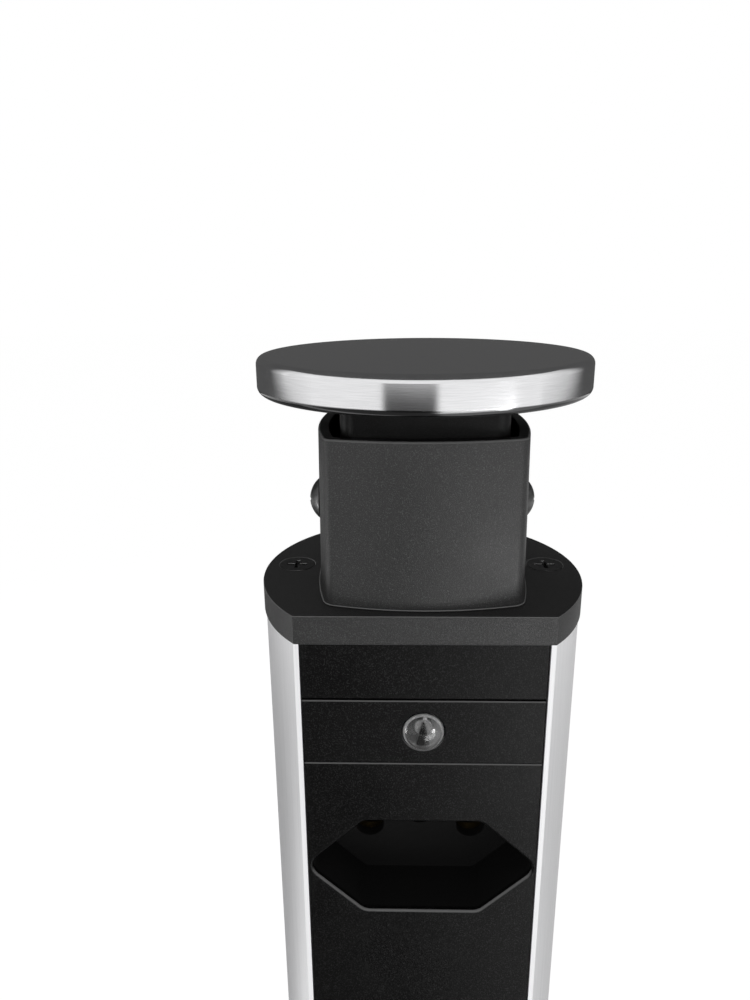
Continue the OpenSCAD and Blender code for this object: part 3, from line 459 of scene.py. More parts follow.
def painted_edge_highlights(tree, colour, light, front_only):
    """The colour with a painted highlight: paler on the rounded edges that look up, neither upright nor
    level there.
    """
    parts = add(tree, "ShaderNodeSeparateXYZ")
    tree.links.new(add(tree, "ShaderNodeNewGeometry").outputs["Normal"], parts.inputs["Vector"])
    up = parts.outputs["Z"]
    share = times(tree, spread(tree, up, 0, 1, *HIGHLIGHT_RISE), spread(tree, up, 1, 0, *HIGHLIGHT_FALL))
    if front_only:
        share = times(tree, share, spread(tree, parts.outputs["Y"], 1, 0, *HIGHLIGHT_FRONT))
    mix = add(tree, "ShaderNodeMixRGB")
    tree.links.new(share, mix.inputs["Fac"])
    tree.links.new(colour, mix.inputs["Color1"])
    mix.inputs["Color2"].default_value = (*light, 1)
    return mix.outputs["Color"]


def recess_painted_shade(tree, colour, rough, place):
    """Painted shade in a plate's recesses: its colour turned to an even, dull dark grey behind its front
    face, and its roughness raised there.
    """
    parts = add(tree, "ShaderNodeSeparateXYZ")
    tree.links.new(place, parts.inputs["Vector"])
    share = spread(tree, parts.outputs["Y"], 0, 1, FACE_Y + RECESS_SHADE_FROM, FACE_Y + RECESS_SHADE_TO)
    mix = add(tree, "ShaderNodeMixRGB")
    tree.links.new(share, mix.inputs["Fac"])
    tree.links.new(colour, mix.inputs["Color1"])
    mix.inputs["Color2"].default_value = (*grey(RECESS_SHADE_GREY), 1)
    dull = add(tree, "ShaderNodeMath", operation="MAXIMUM")
    tree.links.new(rough, dull.inputs[0])
    tree.links.new(spread(tree, share, 0, SUNK_ROUGH, 0, 1), dull.inputs[1])
    return mix.outputs["Color"], dull.outputs["Value"]


def moulding(name, dark, light, rough, shine, grain, grain_depth, edge_highlight=None, front_only=False):
    """Black plastic from a spark-eroded mould: fine pits and pale specks, a painted highlight on
    upward-looking rounded edges when one is given, and painted shade behind the front face of front plates.
    """
    material, tree, shader = new_material(name)
    place = place_of(tree)
    pits = noise(tree, place, grain, detail=3.0, rough=0.6)
    slow = noise(tree, place, grain / 60)
    specks = spread(tree, noise(tree, place, grain, detail=1.0), 0, 1, *SPECKS)
    colour = shade_between(tree, specks, dark, light)
    dull = spread(tree, slow, rough - 0.05, rough + 0.05)
    # Painted highlight on the rounded edges that look up
    if edge_highlight:
        colour = painted_edge_highlights(tree, colour, edge_highlight, front_only)
    # Painted shade in the recesses behind the front face, with the roughness raised there
    if front_only:
        colour, dull = recess_painted_shade(tree, colour, dull, place)
    tree.links.new(colour, shader.inputs["Base Color"])
    tree.links.new(dull, shader.inputs["Roughness"])
    shader.inputs["Specular IOR Level"].default_value = shine
    bump(tree, shader, pits, grain_depth)
    return material


def turned_steel(name):
    """Stainless steel brushed round the lid's axis, with painted shade darkening its colour where the edge
    rolls under and faces down.
    """
    material, tree, shader = new_material(name)
    place = place_of(tree)
    parts = add(tree, "ShaderNodeSeparateXYZ")
    tree.links.new(place, parts.inputs["Vector"])
    level = add(tree, "ShaderNodeCombineXYZ")
    tree.links.new(parts.outputs["X"], level.inputs["X"])
    tree.links.new(parts.outputs["Y"], level.inputs["Y"])
    radius = add(tree, "ShaderNodeVectorMath", operation="LENGTH")
    tree.links.new(level.outputs["Vector"], radius.inputs[0])
    around = add(tree, "ShaderNodeVectorMath", operation="NORMALIZE")
    tree.links.new(level.outputs["Vector"], around.inputs[0])
    turned = add(tree, "ShaderNodeSeparateXYZ")
    tree.links.new(around.outputs["Vector"], turned.inputs["Vector"])
    across = add(tree, "ShaderNodeMath", operation="ADD")
    tree.links.new(radius.outputs["Value"], across.inputs[0])
    tree.links.new(parts.outputs["Z"], across.inputs[1])
    fine = add(tree, "ShaderNodeMath", operation="MULTIPLY")
    tree.links.new(across.outputs["Value"], fine.inputs[0])
    fine.inputs[1].default_value = TURNED_LINES
    line_place = add(tree, "ShaderNodeCombineXYZ")
    tree.links.new(fine.outputs["Value"], line_place.inputs["X"])
    tree.links.new(turned.outputs["X"], line_place.inputs["Y"])
    tree.links.new(turned.outputs["Y"], line_place.inputs["Z"])
    streaks = stretched(tree, line_place.outputs["Vector"], TURNED_BREAKS)
    lines = noise(tree, streaks, 1.0, detail=3.0, rough=0.6)
    smudge = noise(tree, place, SMUDGES, detail=3.0)
    facing_up = add(tree, "ShaderNodeSeparateXYZ")
    tree.links.new(add(tree, "ShaderNodeNewGeometry").outputs["Normal"], facing_up.inputs["Vector"])
    painted_shade_colour = add(tree, "ShaderNodeVectorMath", operation="SCALE")
    bright = shade_between(tree, spread(tree, lines, 0, 1), (0.72, 0.72, 0.73), (0.82, 0.82, 0.83))
    tree.links.new(bright, painted_shade_colour.inputs[0])
    # Painted shade: the colour darkens where the rolled edge faces down
    shade = spread(tree, facing_up.outputs["Z"], ROLL_SHADE, 1, *ROLL_SHADE_AT)
    tree.links.new(shade, painted_shade_colour.inputs["Scale"])
    tree.links.new(painted_shade_colour.outputs["Vector"], shader.inputs["Base Color"])
    tree.links.new(spread(tree, smudge, 0.14, 0.16), shader.inputs["Roughness"])
    shader.inputs["Metallic"].default_value = 1.0
    grain = spread(tree, facing_up.outputs["Z"], SIDE_GRAIN, 0, *SIDE_GRAIN_AT)
    tree.links.new(grain, shader.inputs["Anisotropic"])
    shader.inputs["Anisotropic Rotation"].default_value = 0.25
    tangent = add(tree, "ShaderNodeTangent", direction_type="RADIAL", axis="Z")
    tree.links.new(tangent.outputs["Tangent"], shader.inputs["Tangent"])
    bump(tree, shader, lines, TURNED_DEPTH)
    return material


def drawn_aluminium(name):
    """Anodised profile: satin, with faint die lines along its length."""
    material, tree, shader = new_material(name)
    place = place_of(tree)
    lines = noise(tree, stretched(tree, place, DRAWN_LINES), 1.0, detail=3.0, rough=0.6)
    etch = noise(tree, place, ETCH)
    colour = shade_between(tree, spread(tree, lines, 0, 1), (0.86, 0.86, 0.87), (0.94, 0.94, 0.95))
    tree.links.new(colour, shader.inputs["Base Color"])
    tree.links.new(spread(tree, etch, 0.40, 0.46), shader.inputs["Roughness"])
    shader.inputs["Metallic"].default_value = 0.9
    bump(tree, shader, lines, DRAWN_DEPTH)
    return material


def plated(name, dark, light, rough):
    """Plated or blackened metal with small stains."""
    material, tree, shader = new_material(name)
    place = place_of(tree)
    stains = noise(tree, place, STAINS, detail=4.0, rough=0.6)
    colour = shade_between(tree, spread(tree, stains, 0, 1), dark, light)
    tree.links.new(colour, shader.inputs["Base Color"])
    dull = spread(tree, noise(tree, place, HANDLING), rough - 0.06, rough + 0.08)
    tree.links.new(dull, shader.inputs["Roughness"])
    shader.inputs["Metallic"].default_value = 1.0
    bump(tree, shader, stains, STAIN_DEPTH)
    return material


def plain_plastic(name, dark, light, rough, grain=2500.0, depth=STAIN_DEPTH):
    """Plastic, rubber or felt with a little mottling."""
    material, tree, shader = new_material(name)
    place = place_of(tree)
    mottle = noise(tree, place, grain, detail=3.0)
    colour = shade_between(tree, spread(tree, mottle, 0, 1), dark, light)
    tree.links.new(colour, shader.inputs["Base Color"])
    dull = spread(tree, noise(tree, place, grain / 8), rough - 0.05, rough + 0.05)
    tree.links.new(dull, shader.inputs["Roughness"])
    bump(tree, shader, mottle, depth)
    return material


def painted_shade_dish(name, dark, light):
    """Grey moulding with painted light and shade across the lamp: dark at its upper left, paling to its
    right.
    """
    material, tree, shader = new_material(name)
    across = add(tree, "ShaderNodeVectorMath", operation="DOT_PRODUCT")
    tree.links.new(place_of(tree), across.inputs[0])
    across.inputs[1].default_value = (1, 0, -DISH_SLANT)
    middle = -DISH_SLANT * LENS_Z
    share = spread(tree, across.outputs["Value"], 0, 1, middle - DISH_SHADE_REACH, middle + DISH_LIGHT_REACH)
    tree.links.new(shade_between(tree, share, dark, light), shader.inputs["Base Color"])
    shader.inputs["Roughness"].default_value = 0.5
    shader.inputs["Specular IOR Level"].default_value = 0.1
    return material


def clear_plastic(name):
    """Clear moulded plastic with a slight haze."""
    material, tree, shader = new_material(name)
    haze = noise(tree, place_of(tree), HAZE)
    tree.links.new(spread(tree, haze, 0.17, 0.21), shader.inputs["Roughness"])
    shader.inputs["Base Color"].default_value = (0.93, 0.93, 0.93, 1)
    shader.inputs["Transmission Weight"].default_value = 1.0
    shader.inputs["IOR"].default_value = 1.49
    return material


steel = turned_steel("brushed_lid")
aluminium = drawn_aluminium("profile_aluminium")
# The black moulding and the plates carry a painted highlight on their upward-looking rounded edges
black = moulding(
    "black_moulding", grey(0.020), grey(0.060), rough=0.42, shine=0.25,
    grain=6500.0, grain_depth=0.00004, edge_highlight=grey(EDGE_HIGHLIGHT_GREY),
)
# The plates also get painted shade in their recesses
panel = moulding(
    "dark_plate", grey(0.001), grey(0.022), rough=0.34, shine=0.08,
    grain=5500.0, grain_depth=0.00003, edge_highlight=grey(EDGE_HIGHLIGHT_GREY), front_only=True,
)
# A darker copy of the black moulding: painted shade for parts that sit in shade, such as the stem under the
# lid and the inside of the neck
black_painted_shade = moulding(
    "black_painted_shade", grey(0.001), grey(0.006), rough=0.36, shine=0.12, grain=5500.0, grain_depth=0.00002,
)
black_steel = plated("black_screw", grey(0.05), grey(0.12), rough=0.36)
zinc = plated("zinc_screw", (0.42, 0.43, 0.45), (0.62, 0.63, 0.66), rough=0.30)
# Brass darkened far below its own colour: painted shade for contacts deep in the pin holes
brass = plated("contact_brass", (0.20, 0.14, 0.05), (0.28, 0.20, 0.08), rough=0.28)
# Dish greys: painted shade at the dark end, painted light at the pale end
dish_painted_shade = painted_shade_dish("lamp_dish", grey(0.02), grey(0.30))
# Rim grey: a painted highlight standing in for the lit ring at the dome's edge
rim_painted_highlight = plain_plastic("lamp_rim_painted_highlight", grey(0.34), grey(0.42), rough=0.30, depth=0)
bead_grey = plain_plastic("lamp_bead", grey(0.15), grey(0.19), rough=0.5, depth=0)
clear = clear_plastic("clear_lens")
nylon = plain_plastic("white_nylon", (0.68, 0.67, 0.63), (0.78, 0.77, 0.73), rough=0.48)
green = plain_plastic("board", (0.02, 0.12, 0.05), (0.04, 0.17, 0.08), rough=0.35)
felt = plain_plastic("felt", grey(0.06), grey(0.15), rough=0.92, grain=6000.0, depth=0.0001)
rubber = plain_plastic("rubber", grey(0.012), grey(0.024), rough=0.72, grain=3000.0, depth=0.00002)


# Lid, neck and spring

def lid_cap():
    """Drawn disc, whose lower edge is rolled in under the carrier."""
    r, low, high = lid_high.x, lid_low.z, lid_high.z
    inner, lip = r - LID_SHEET, r - LID_LIP
    shell = Shell()
    shell.lathe(fillet([
        (0, high, 0), (r, high, LID_EDGE), (r, low, LID_ROLL),
        (lip, low, CLEAR), (lip, low + LID_LIP_T, CLEAR), (inner, low + LID_LIP_T, 0),
        (inner, high - LID_SHEET, LID_EDGE - LID_SHEET), (0, high - LID_SHEET, 0),
    ], 0, 8), 2 * LATHE_STEPS)
    return shell.made("lid_cap_brushed", steel, "lid", ["lid_cap"], "brushed_lid")


def neck_housing():
    """The drafted, bowed tube with its foot bead, soft rim and the ribs that guide the stem."""
    foot, top = neck_low.z, neck_high.z
    half_x, half_y = neck_high.x - NECK_BEAD, neck_high.y - NECK_BEAD
    outer = bowed_square(half_x, half_y, NECK_BOW, NECK_CORNER)
    inset = NECK_DRAFT + NECK_WALL
    pocket = bowed_square(half_x - inset, half_y - inset, NECK_BOW - NECK_WALL, POCKET_CORNER)
    shell = Shell()
    turns = [math.pi * (0.25 + 0.75 * i / 7) for i in range(8)]
    rows = [(foot + NECK_BEAD / 2 * (1 - math.cos(t)), NECK_BEAD * math.sin(t)) for t in turns]
    start = rows[-1][0]
    rows += [(start + (top - NECK_RIM - start) * i / 8, 0) for i in range(1, 9)]
    lean = NECK_DRAFT / (top - foot)
    rows = [(z, grow - lean * (z - foot)) for z, grow in rows]
    last = rows[-1][1]
    for i in range(1, 6):
        turn = math.pi / 2 * i / 5
        rows.append((top - NECK_RIM * (1 - math.sin(turn)), last - NECK_RIM * (1 - math.cos(turn))))
    outside = [shell.ring(upright(offset(outer, grow), z)) for z, grow in rows]
    shell.wall(*outside)
    shell.cap(outside[0])
    shell.made("neck_housing_moulded", black, "tower", ["neck_housing"], "black_moulding")
    # The inside of the neck, in the darker copy of the moulding as painted shade
    shell = Shell()
    rim = shell.ring(upright(offset(outer, rows[-1][1]), top))
    inside = shell.stack(upright, pocket, foot + NECK_FLOOR, top, FACE_EDGE, -1)
    shell.wall(*inside)
    shell.cap(rim, [inside[-1]])
    shell.cap(inside[0])
    face = half_y - inset - RIB_H
    for quarter in range(4):
        shell.at = Matrix.Rotation(math.pi / 2 * quarter, 4, "Z")
        root = (half_y if quarter % 2 else half_x) - inset
        for side in (-RIB_AT, RIB_AT):
            low, high = side - RIB_T / 2, side + RIB_T / 2
            rib = [(face, low), (root, low), (root, high), (face, high)]
            shell.slab(upright, rib, [], foot + NECK_FLOOR - EDGE, top - RIB_DROP)
    return shell.made("neck_pocket", black_painted_shade, "tower", [], "black_moulding")


def lid_spring():
    """Round wire, with closed turns at both ends, spanning the CAD spring's height, with a mesh of its own.
    """
    low, high = spring_low.z, spring_high.z
    radius = spring_high.x - SPRING_WIRE / 2
    turns, around, sides = SPRING_TURNS + 2, 28, 10
    rise = high - low - SPRING_WIRE
    shell = Shell()
    rings = []
    for i in range(turns * around + 1):
        t = i / around
        if t < 1:
            z = SPRING_CLOSED * t
        elif t > turns - 1:
            z = rise - SPRING_CLOSED * (turns - t)
        else:
            z = SPRING_CLOSED + (rise - 2 * SPRING_CLOSED) * (t - 1) / (turns - 2)
        a = 2 * math.pi * t
        out = Vector((math.cos(a), math.sin(a), 0))
        centre = out * radius + Vector((0, 0, low + SPRING_WIRE / 2 + z))
        ring = []
        for k in range(sides):
            b = 2 * math.pi * k / sides
            ring.append(centre + SPRING_WIRE / 2 * (math.cos(b) * out + math.sin(b) * Vector((0, 0, 1))))
        rings.append(shell.ring(ring))
    shell.wall(*rings)
    shell.cap(rings[0])
    shell.cap(rings[-1])
    piece = shell.made("lid_spring_wire", zinc, "tower", ["lid_spring"], "zinc_screw")
    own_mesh(piece)
    return piece


# Socket front

def hexagon():
    tip = HEX_W / 2 + HEX_R * (1 / math.sin(HEX_SLANT) - 1)
    flat = tip - HEX_H / 2 / math.tan(HEX_SLANT)
    half = HEX_H / 2
    corners = [(tip, 0), (flat, half), (-flat, half), (-tip, 0), (-flat, -half), (flat, -half)]
    return fillet(corners, HEX_R, 10)


def moved(loop, z):
    return [(x, y + z) for x, y in loop]


def plate_rings(shell, low, high):
    """Rings of a front plate, from its rounded face back to its tongues."""
    half = PLATE_HALF
    face = fillet([(half, low), (half, high), (-half, high), (-half, low)], PLATE_CORNER, 4)
    wide = [(x + math.copysign(TONGUE_HALF - half, x), z) for x, z in face]
    rings = []
    for i in range(6):
        turn = math.pi / 2 * i / 5
        grow = -FACE_EDGE * (1 - math.sin(turn))
        rings.append(shell.ring(facing(offset(face, grow), FACE_Y + FACE_EDGE * (1 - math.cos(turn)))))
    rings.append(shell.ring(facing(face, TONGUE_Y)))
    rings.append(shell.ring(facing(wide, TONGUE_Y)))
    rings.append(shell.ring(facing(wide, PLATE_BACK)))
    shell.wall(*rings)
    return rings[0], rings[-1]


def boss(shell, x, z, end):
    shell.slab(facing, circle(BOSS_R, 32, x, z), [circle(BOSS_BORE_R, 24, x, z)], PLATE_BACK - CLEAR, end)


def blank_plate():
    shell = Shell()
    for ring in plate_rings(shell, blank_low.z, blank_high.z):
        shell.cap(ring)
    return shell.made("blank_plate_moulded", panel, "tower", ["blank_plate"], "dark_plate")


def lower_plate():
    shell = Shell()
    for ring in plate_rings(shell, lower_low.z, lower_high.z):
        shell.cap(ring)
    for side in (-1, 1):
        boss(shell, side * BOSS_X, (terminal_low.z + terminal_high.z) / 2, lower_high.y)
    return shell.made("lower_plate_moulded", panel, "tower", ["lower_plate"], "dark_plate")


def indicator_plate():
    """The plate round the lens, with the ears behind it that hold the lamp's board."""
    shell = Shell()
    front, back = plate_rings(shell, indicator_low.z, indicator_high.z)
    hole = shell.stack(facing, circle(LENS_R + CLEAR, LENS_STEPS, 0, LENS_Z), FACE_Y, PLATE_BACK, EDGE, -1)
    shell.wall(*hole)
    shell.cap(front, [hole[0]])
    shell.cap(back, [hole[-1]])
    inner, outer = board_high.x - EAR_BITE, board_high.x - EAR_BITE + EAR_W
    slot = board_high.x + CLEAR
    low, high = board_low.z - EAR_T, board_high.z + EAR_T
    under, over = board_low.z - CLEAR, board_high.z + CLEAR
    ear = [
        (outer, low), (outer, high), (inner, high), (inner, over),
        (slot, over), (slot, under), (inner, under), (inner, low),
    ]
    for loop in (ear, [(-x, z) for x, z in reversed(ear)]):
        shell.slab(facing, loop, [], PLATE_BACK - CLEAR, PLATE_BACK + EAR_L, CLEAR)
    return shell.made("indicator_plate_moulded", panel, "tower", ["indicator_plate"], "dark_plate")


def socket_front():
    """The plate with its hexagonal cups, their pin holes and the bosses between them."""
    shell = Shell()
    front, back = plate_rings(shell, socket_low.z, socket_high.z)
    mouths, cups = [], []
    floor_y = FACE_Y + RECESS_DEPTH
    hole_rows = [
        (PIN_HOLE_R + PIN_LEAD, floor_y), (PIN_HOLE_R + PIN_LEAD_SOFT, floor_y + PIN_LEAD_SOFT),
        (PIN_HOLE_R, floor_y + PIN_LEAD), (PIN_HOLE_R, floor_y + CUP_FLOOR),
    ]
    for z in OUTLETS:
        loop = moved(hexagon(), z)
        rows = []
        for i in range(7):
            turn = math.pi / 2 * i / 6
            rows.append((MOUTH * (1 - math.sin(turn)), FACE_Y + MOUTH * (1 - math.cos(turn))))
        for i in range(5):
            turn = math.pi / 2 * i / 4
            rows.append((-FLOOR_EDGE * (1 - math.cos(turn)), floor_y - FLOOR_EDGE * (1 - math.sin(turn))))
        recess = [shell.ring(facing(offset(loop, grow), y)) for grow, y in rows]
        shell.wall(*recess)
        cup = offset(loop, CUP_WALL)
        outside = [shell.ring(facing(cup, y)) for y in (PLATE_BACK, floor_y + CUP_FLOOR)]
        shell.wall(*outside)
        holes = []
        for x, rise in ((-PIN_PITCH / 2, 0), (PIN_PITCH / 2, 0), (0, EARTH_RISE)):
            hole = [shell.ring(facing(circle(r, 40, x, z + rise), y)) for r, y in hole_rows]
            shell.wall(*hole)
            holes.append(hole)
        shell.cap(recess[-1], [hole[0] for hole in holes])
        shell.cap(outside[-1], [hole[-1] for hole in holes])
        mouths.append(recess[0])
        cups.append(outside[0])
    shell.cap(front, mouths)
    shell.cap(back, cups)
    for side in (-1, 1):
        for low, high in zip(OUTLETS, OUTLETS[1:]):
            boss(shell, side * BOSS_X, (low + high) / 2, socket_high.y)
    return shell.made("socket_front_moulded", panel, "tower", ["socket_front"], "dark_plate")


def indicator_lens():
    """A clear dome with a rim behind the plate."""
    shell = Shell()
    shell.at = Matrix.Translation((0, 0, LENS_Z)) @ Matrix.Rotation(math.pi / 2, 4, "X")
    back, front, face = -lens_high.y, -lens_low.y, -FACE_Y
    dome = front - face
    ball = (LENS_R ** 2 + dome ** 2) / (2 * dome)
    reach = math.asin(LENS_R / ball)
    turns = [reach * i / 14 for i in range(15)]
    outer = [(ball * math.sin(t), front - ball * (1 - math.cos(t))) for t in turns]
    rim = lens_high.x
    rim_front = -PLATE_BACK - CLEAR
    shell.lathe(outer + [(LENS_R, rim_front), (rim, rim_front), (rim, back), (0, back)], LENS_STEPS)
    return shell.made("indicator_lens_dome", clear, "tower", ["indicator_lens"], "clear_lens", DOME_ANGLE)


def lamp_dish():
    """What shows through the dome: a dish with painted shade and light, its rim painted pale as a painted
    highlight, the lamp's bead, and a dark wedge that is a painted reflection.
    """
    turn = Matrix.Translation((0, FACE_Y + DISH_SET, LENS_Z)) @ Matrix.Rotation(math.pi / 2, 4, "X")
    ball = (DISH_R ** 2 + DISH_DEEP ** 2) / (2 * DISH_DEEP)
    reach = math.asin(DISH_R / ball)
    turns = [reach * i / 16 for i in range(17)]
    inside = [(ball * math.sin(t), ball * (1 - math.cos(t)) - DISH_DEEP) for t in turns]
    hoop = [(DISH_R - RIM_W, 0), (DISH_R, 0), (DISH_R, RIM_T), (DISH_R - RIM_W, RIM_T)]
    button = [(0, BEAD_FRONT), (BEAD_R, BEAD_FRONT), (BEAD_R, BEAD_BACK), (0, BEAD_BACK)]
    wedge = fillet([(0, WEDGE_TOP), (-WEDGE_HALF, -WEDGE_FOOT), (WEDGE_HALF, -WEDGE_FOOT)], EDGE, 5)
    dish, rim, bead, painted_wedge = Shell(), Shell(), Shell(), Shell()
    dish.at = rim.at = turn
    bead.at = Matrix.Translation((0, 0, BEAD_UP)) @ turn
    dish.lathe(inside + [(DISH_R, -DISH_DEEP - EDGE), (0, -DISH_DEEP - EDGE)], LENS_STEPS)
    # The rim, painted pale as a painted highlight
    rim.lathe(fillet(hoop, RIM_T / 3, 4), LENS_STEPS)
    bead.lathe(fillet(button, EDGE, 5), BEAD_STEPS)
    front = FACE_Y + DISH_SET
    # A dark wedge before the dish, a painted reflection of a dark shape in the dome
    painted_wedge.slab(facing, moved(wedge, LENS_Z), [], front, front + WEDGE_T, CLEAR / 2)
    dish.made("lamp_dish", dish_painted_shade, "tower", [], "zinc_screw")
    rim.made("lamp_rim_painted_highlight", rim_painted_highlight, "tower", [], "zinc_screw")
    bead.made("lamp_bead", bead_grey, "tower", [], "clear_lens")
    painted_wedge.made("lamp_wedge_painted_reflection", black_painted_shade, "tower", [], "black_moulding")


# Desk flange and clamp

def thread(shell, foot, top):
    """Outside of the clamp tube: a helix that stops at a plain strip in front and one behind."""
    steps, rows = 180, len(THREAD_ROWS)
    turns = math.ceil((top - foot) / THREAD_PITCH) + 3
    height = THREAD_CREST_R - THREAD_CORE_R
    columns = []
    for j in range(steps):
        angle = 2 * math.pi * j / steps
        strip = abs(math.remainder(angle - math.pi / 2, math.pi))
        share = min(1, max(0, (strip - STRIP_HALF) / STRIP_FADE))
        column = []
        for i in range(turns * rows + 1):
            z = foot + THREAD_PITCH * (i / rows + j / steps - 1.5)
            end = min(1, max(0, min(z - foot, top - z) / THREAD_PITCH))
            r = THREAD_CORE_R + height * THREAD_ROWS[i % rows] * share * end
            if i in (0, turns * rows):
                r = TUBE_R - CLEAR
            column.append((r * math.cos(angle), r * math.sin(angle), min(top, max(foot, z))))
        columns.append(shell.ring(column))
    for j in range(steps):
        here, after = columns[j], columns[(j + 1) % steps]
        shift = rows if j == steps - 1 else 0
        for i in range(len(here) - 1 - shift):
            shell.faces.append((here[i], after[i + shift], after[i + 1 + shift], here[i + 1]))


def desk_flange():
    """Flange ring, plain spigot, threaded tube, the flat guide inside it and the key screw's boss."""
    shell = Shell()
    r, top, foot = flange_high.x, flange_high.z, flange_low.z
    shell.lathe(fillet([
        (FLANGE_BORE_R, top, BORE_EDGE), (r, top, FLANGE_EDGE), (r, 0, RING_FOOT_EDGE),
        (SPIGOT_R, 0, 0), (SPIGOT_R, -SPIGOT_H, SPIGOT_EDGE), (TUBE_R, -SPIGOT_H, 0),
        (TUBE_R, foot, 0), (FLANGE_BORE_R, foot, BORE_EDGE),
    ], 0, 7), RING_STEPS)
    thread(shell, foot, -SPIGOT_H)
    root = FLANGE_BORE_R + GUIDE_ROOT
    near, away = -GUIDE_FLAT, -GUIDE_FLAT - GUIDE_WALL
    near_x, away_x = math.sqrt(root ** 2 - near ** 2), math.sqrt(root ** 2 - away ** 2)
    relief = [
        (RELIEF_HALF, near), (RELIEF_HALF, near - RELIEF_D),
        (-RELIEF_HALF, near - RELIEF_D), (-RELIEF_HALF, near),
    ]
    wall = [(near_x, near), *relief, (-near_x, near), (-away_x, away), (away_x, away)]
    shell.slab(upright, wall, [], foot, LEDGE_Z)
    turn = math.asin(GUIDE_FLAT / root)
    ledge = arc(0, 0, root, turn - math.pi, -turn, 60) + relief
    shell.slab(upright, ledge, [], LEDGE_Z - LEDGE_T, LEDGE_Z)
    key_z = (key_low.z + key_high.z) / 2
    shell.at = Matrix.Translation((0, 0, key_z)) @ Matrix.Rotation(-math.pi / 2, 4, "X")
    start, face = TUBE_R - CLEAR, key_high.y - CLEAR
    boss_ring = [(KEY_HEAD_R, start, 0), (KEY_BOSS_R, start, 0), (KEY_BOSS_R, face), (KEY_HEAD_R, face)]
    shell.lathe(fillet(boss_ring, EDGE, 4), BEAD_STEPS)
    return shell.made("desk_flange_threaded", black, "flange", ["desk_flange"], "black_moulding")


def clamp_washer():
    shell = Shell()
    bore, r = NUT_BORE_R, washer_high.x
    low, high = washer_low.z, washer_high.z
    shell.lathe(fillet([(bore, low), (r, low), (r, high), (bore, high)], WASHER_EDGE, 5), RING_STEPS)
    return shell.made("clamp_washer_moulded", rubber, "washer", ["clamp_washer"], "rubber")


def clamp_nut():
    """Ring nut with round finger grips and soft edges."""
    outline = []
    steps = 2 * RING_STEPS
    for i in range(steps):
        a = 2 * math.pi * i / steps
        off = math.remainder(a, 2 * math.pi / GRIPS)
        cut = GRIP_R ** 2 - (NUT_R * math.sin(off)) ** 2
        grip = NUT_R * math.cos(off) + math.copysign(math.sqrt(abs(cut)), cut)
        r = NUT_R + NUT_BLEND * math.log1p(math.exp((grip - NUT_R) / NUT_BLEND))
        r = min(r, NUT_R + GRIP_R)
        outline.append((r * math.cos(a), r * math.sin(a)))
    shell = Shell()
    shell.slab(upright, outline, [circle(NUT_BORE_R, RING_STEPS)], nut_low.z, nut_high.z, NUT_EDGE)
    return shell.made("clamp_nut_moulded", black, "nut", ["clamp_nut"], "black_moulding")


# CAD nodes that keep their shape

def dress(material, nodes, edge=0.0):
    """A finish for CAD nodes that keep their shape, and fine rounded edges where they show."""
    for node in nodes:
        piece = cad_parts[node]
        for place in piece.material_slots:
            place.material = material
        if edge:
            weld = piece.modifiers.new("weld", "WELD")
            weld.merge_threshold = WELD_GAP
            planar = piece.modifiers.new("planar", "DECIMATE")
            planar.decimate_type = "DISSOLVE"
            planar.angle_limit = FLAT_ANGLE
            soft = piece.modifiers.new("soft_edges", "BEVEL")
            soft.width = edge
            soft.segments = 3
            soft.limit_method = "ANGLE"
            soft.angle_limit = SOFT_ANGLE
            weighted = piece.modifiers.new("weighted", "WEIGHTED_NORMAL")
            weighted.keep_sharp = True


lid = lid_cap()
neck_housing()
lid_spring()
blank_plate()
indicator_plate()
socket_front()
lower_plate()
lens = indicator_lens()
lamp_dish()
desk_flange()
clamp_washer()
clamp_nut()
dress(black, ["top_collar", "base_cap"], CAP_SOFT)
dress(black, ["gland_body", "gland_locknut", "gland_cap"], SMALL_SOFT)
# Painted shade: the stem and the contact carrier in the darker copy of the moulding
dress(black_painted_shade, ["lid_carrier"], SMALL_SOFT)
dress(black_painted_shade, ["contact_carrier"])
dress(aluminium, ["body_extrusion"], PROFILE_SOFT)
dress(black_steel, ["neck_side_screws", "collar_screws"], SCREW_SOFT)
dress(zinc, ["base_screws", "key_screw"], SCREW_SOFT)
dress(zinc, ["neck_base_screws", "module_screws", "terminal_screws"])
dress(nylon, ["latch_plunger", "latch_case", "rear_insulator", "terminal_block", "guide_key"])
dress(brass, ["live_bar", "neutral_bar", "earth_bar"])
dress(clear, ["indicator_led"])
dress(green, ["indicator_board"])
dress(felt, ["friction_pads"])
dress(rubber, ["lid_pad"])


# Stage: white room and floor, dark flags and cards that only reflections see, lamps and camera

SQUARE = ((-1, -1), (1, -1), (1, 1), (-1, 1))
FLOOR_Z = -0.275
FLOOR_HALF = 6.0
FLOOR_GREY = 0.9
FLOOR_GLOW = 0.9
FLOOR_WHITE = 1.08
FILL = 0.28
FLAG_GREY = 0.085
FLAG_R = 0.6
FLAG_LOW, FLAG_HIGH = -14, 65
FLAG_ACROSS, FLAG_UP = 48, 12

# Bearing from behind in degrees, and grey
FLAG_FADE = [
    (-102, 1.0), (-90, 0.94), (-83, 0.83), (-78, 0.96), (-72, 0.56), (-64, 0.28), (-60, FLAG_GREY),
    (57, FLAG_GREY), (63, 0.30), (70, 0.55), (76, 0.73), (83, 0.74), (90, 0.85), (96, 0.94), (102, 1.0),
]
FLAG_SLANT = 0.77
SLANT_Z = (0.0875, 0.1375)
SKY_R = 0.15
SKY_AROUND = (60, 300)
SKY_LOW, SKY_HIGH = 32, 66
SKY_LAP = 2
CARD_FADE = 0.008
CARD_Z = FLOOR_Z + 0.001
LAMP_Z = FLOOR_Z + 0.002

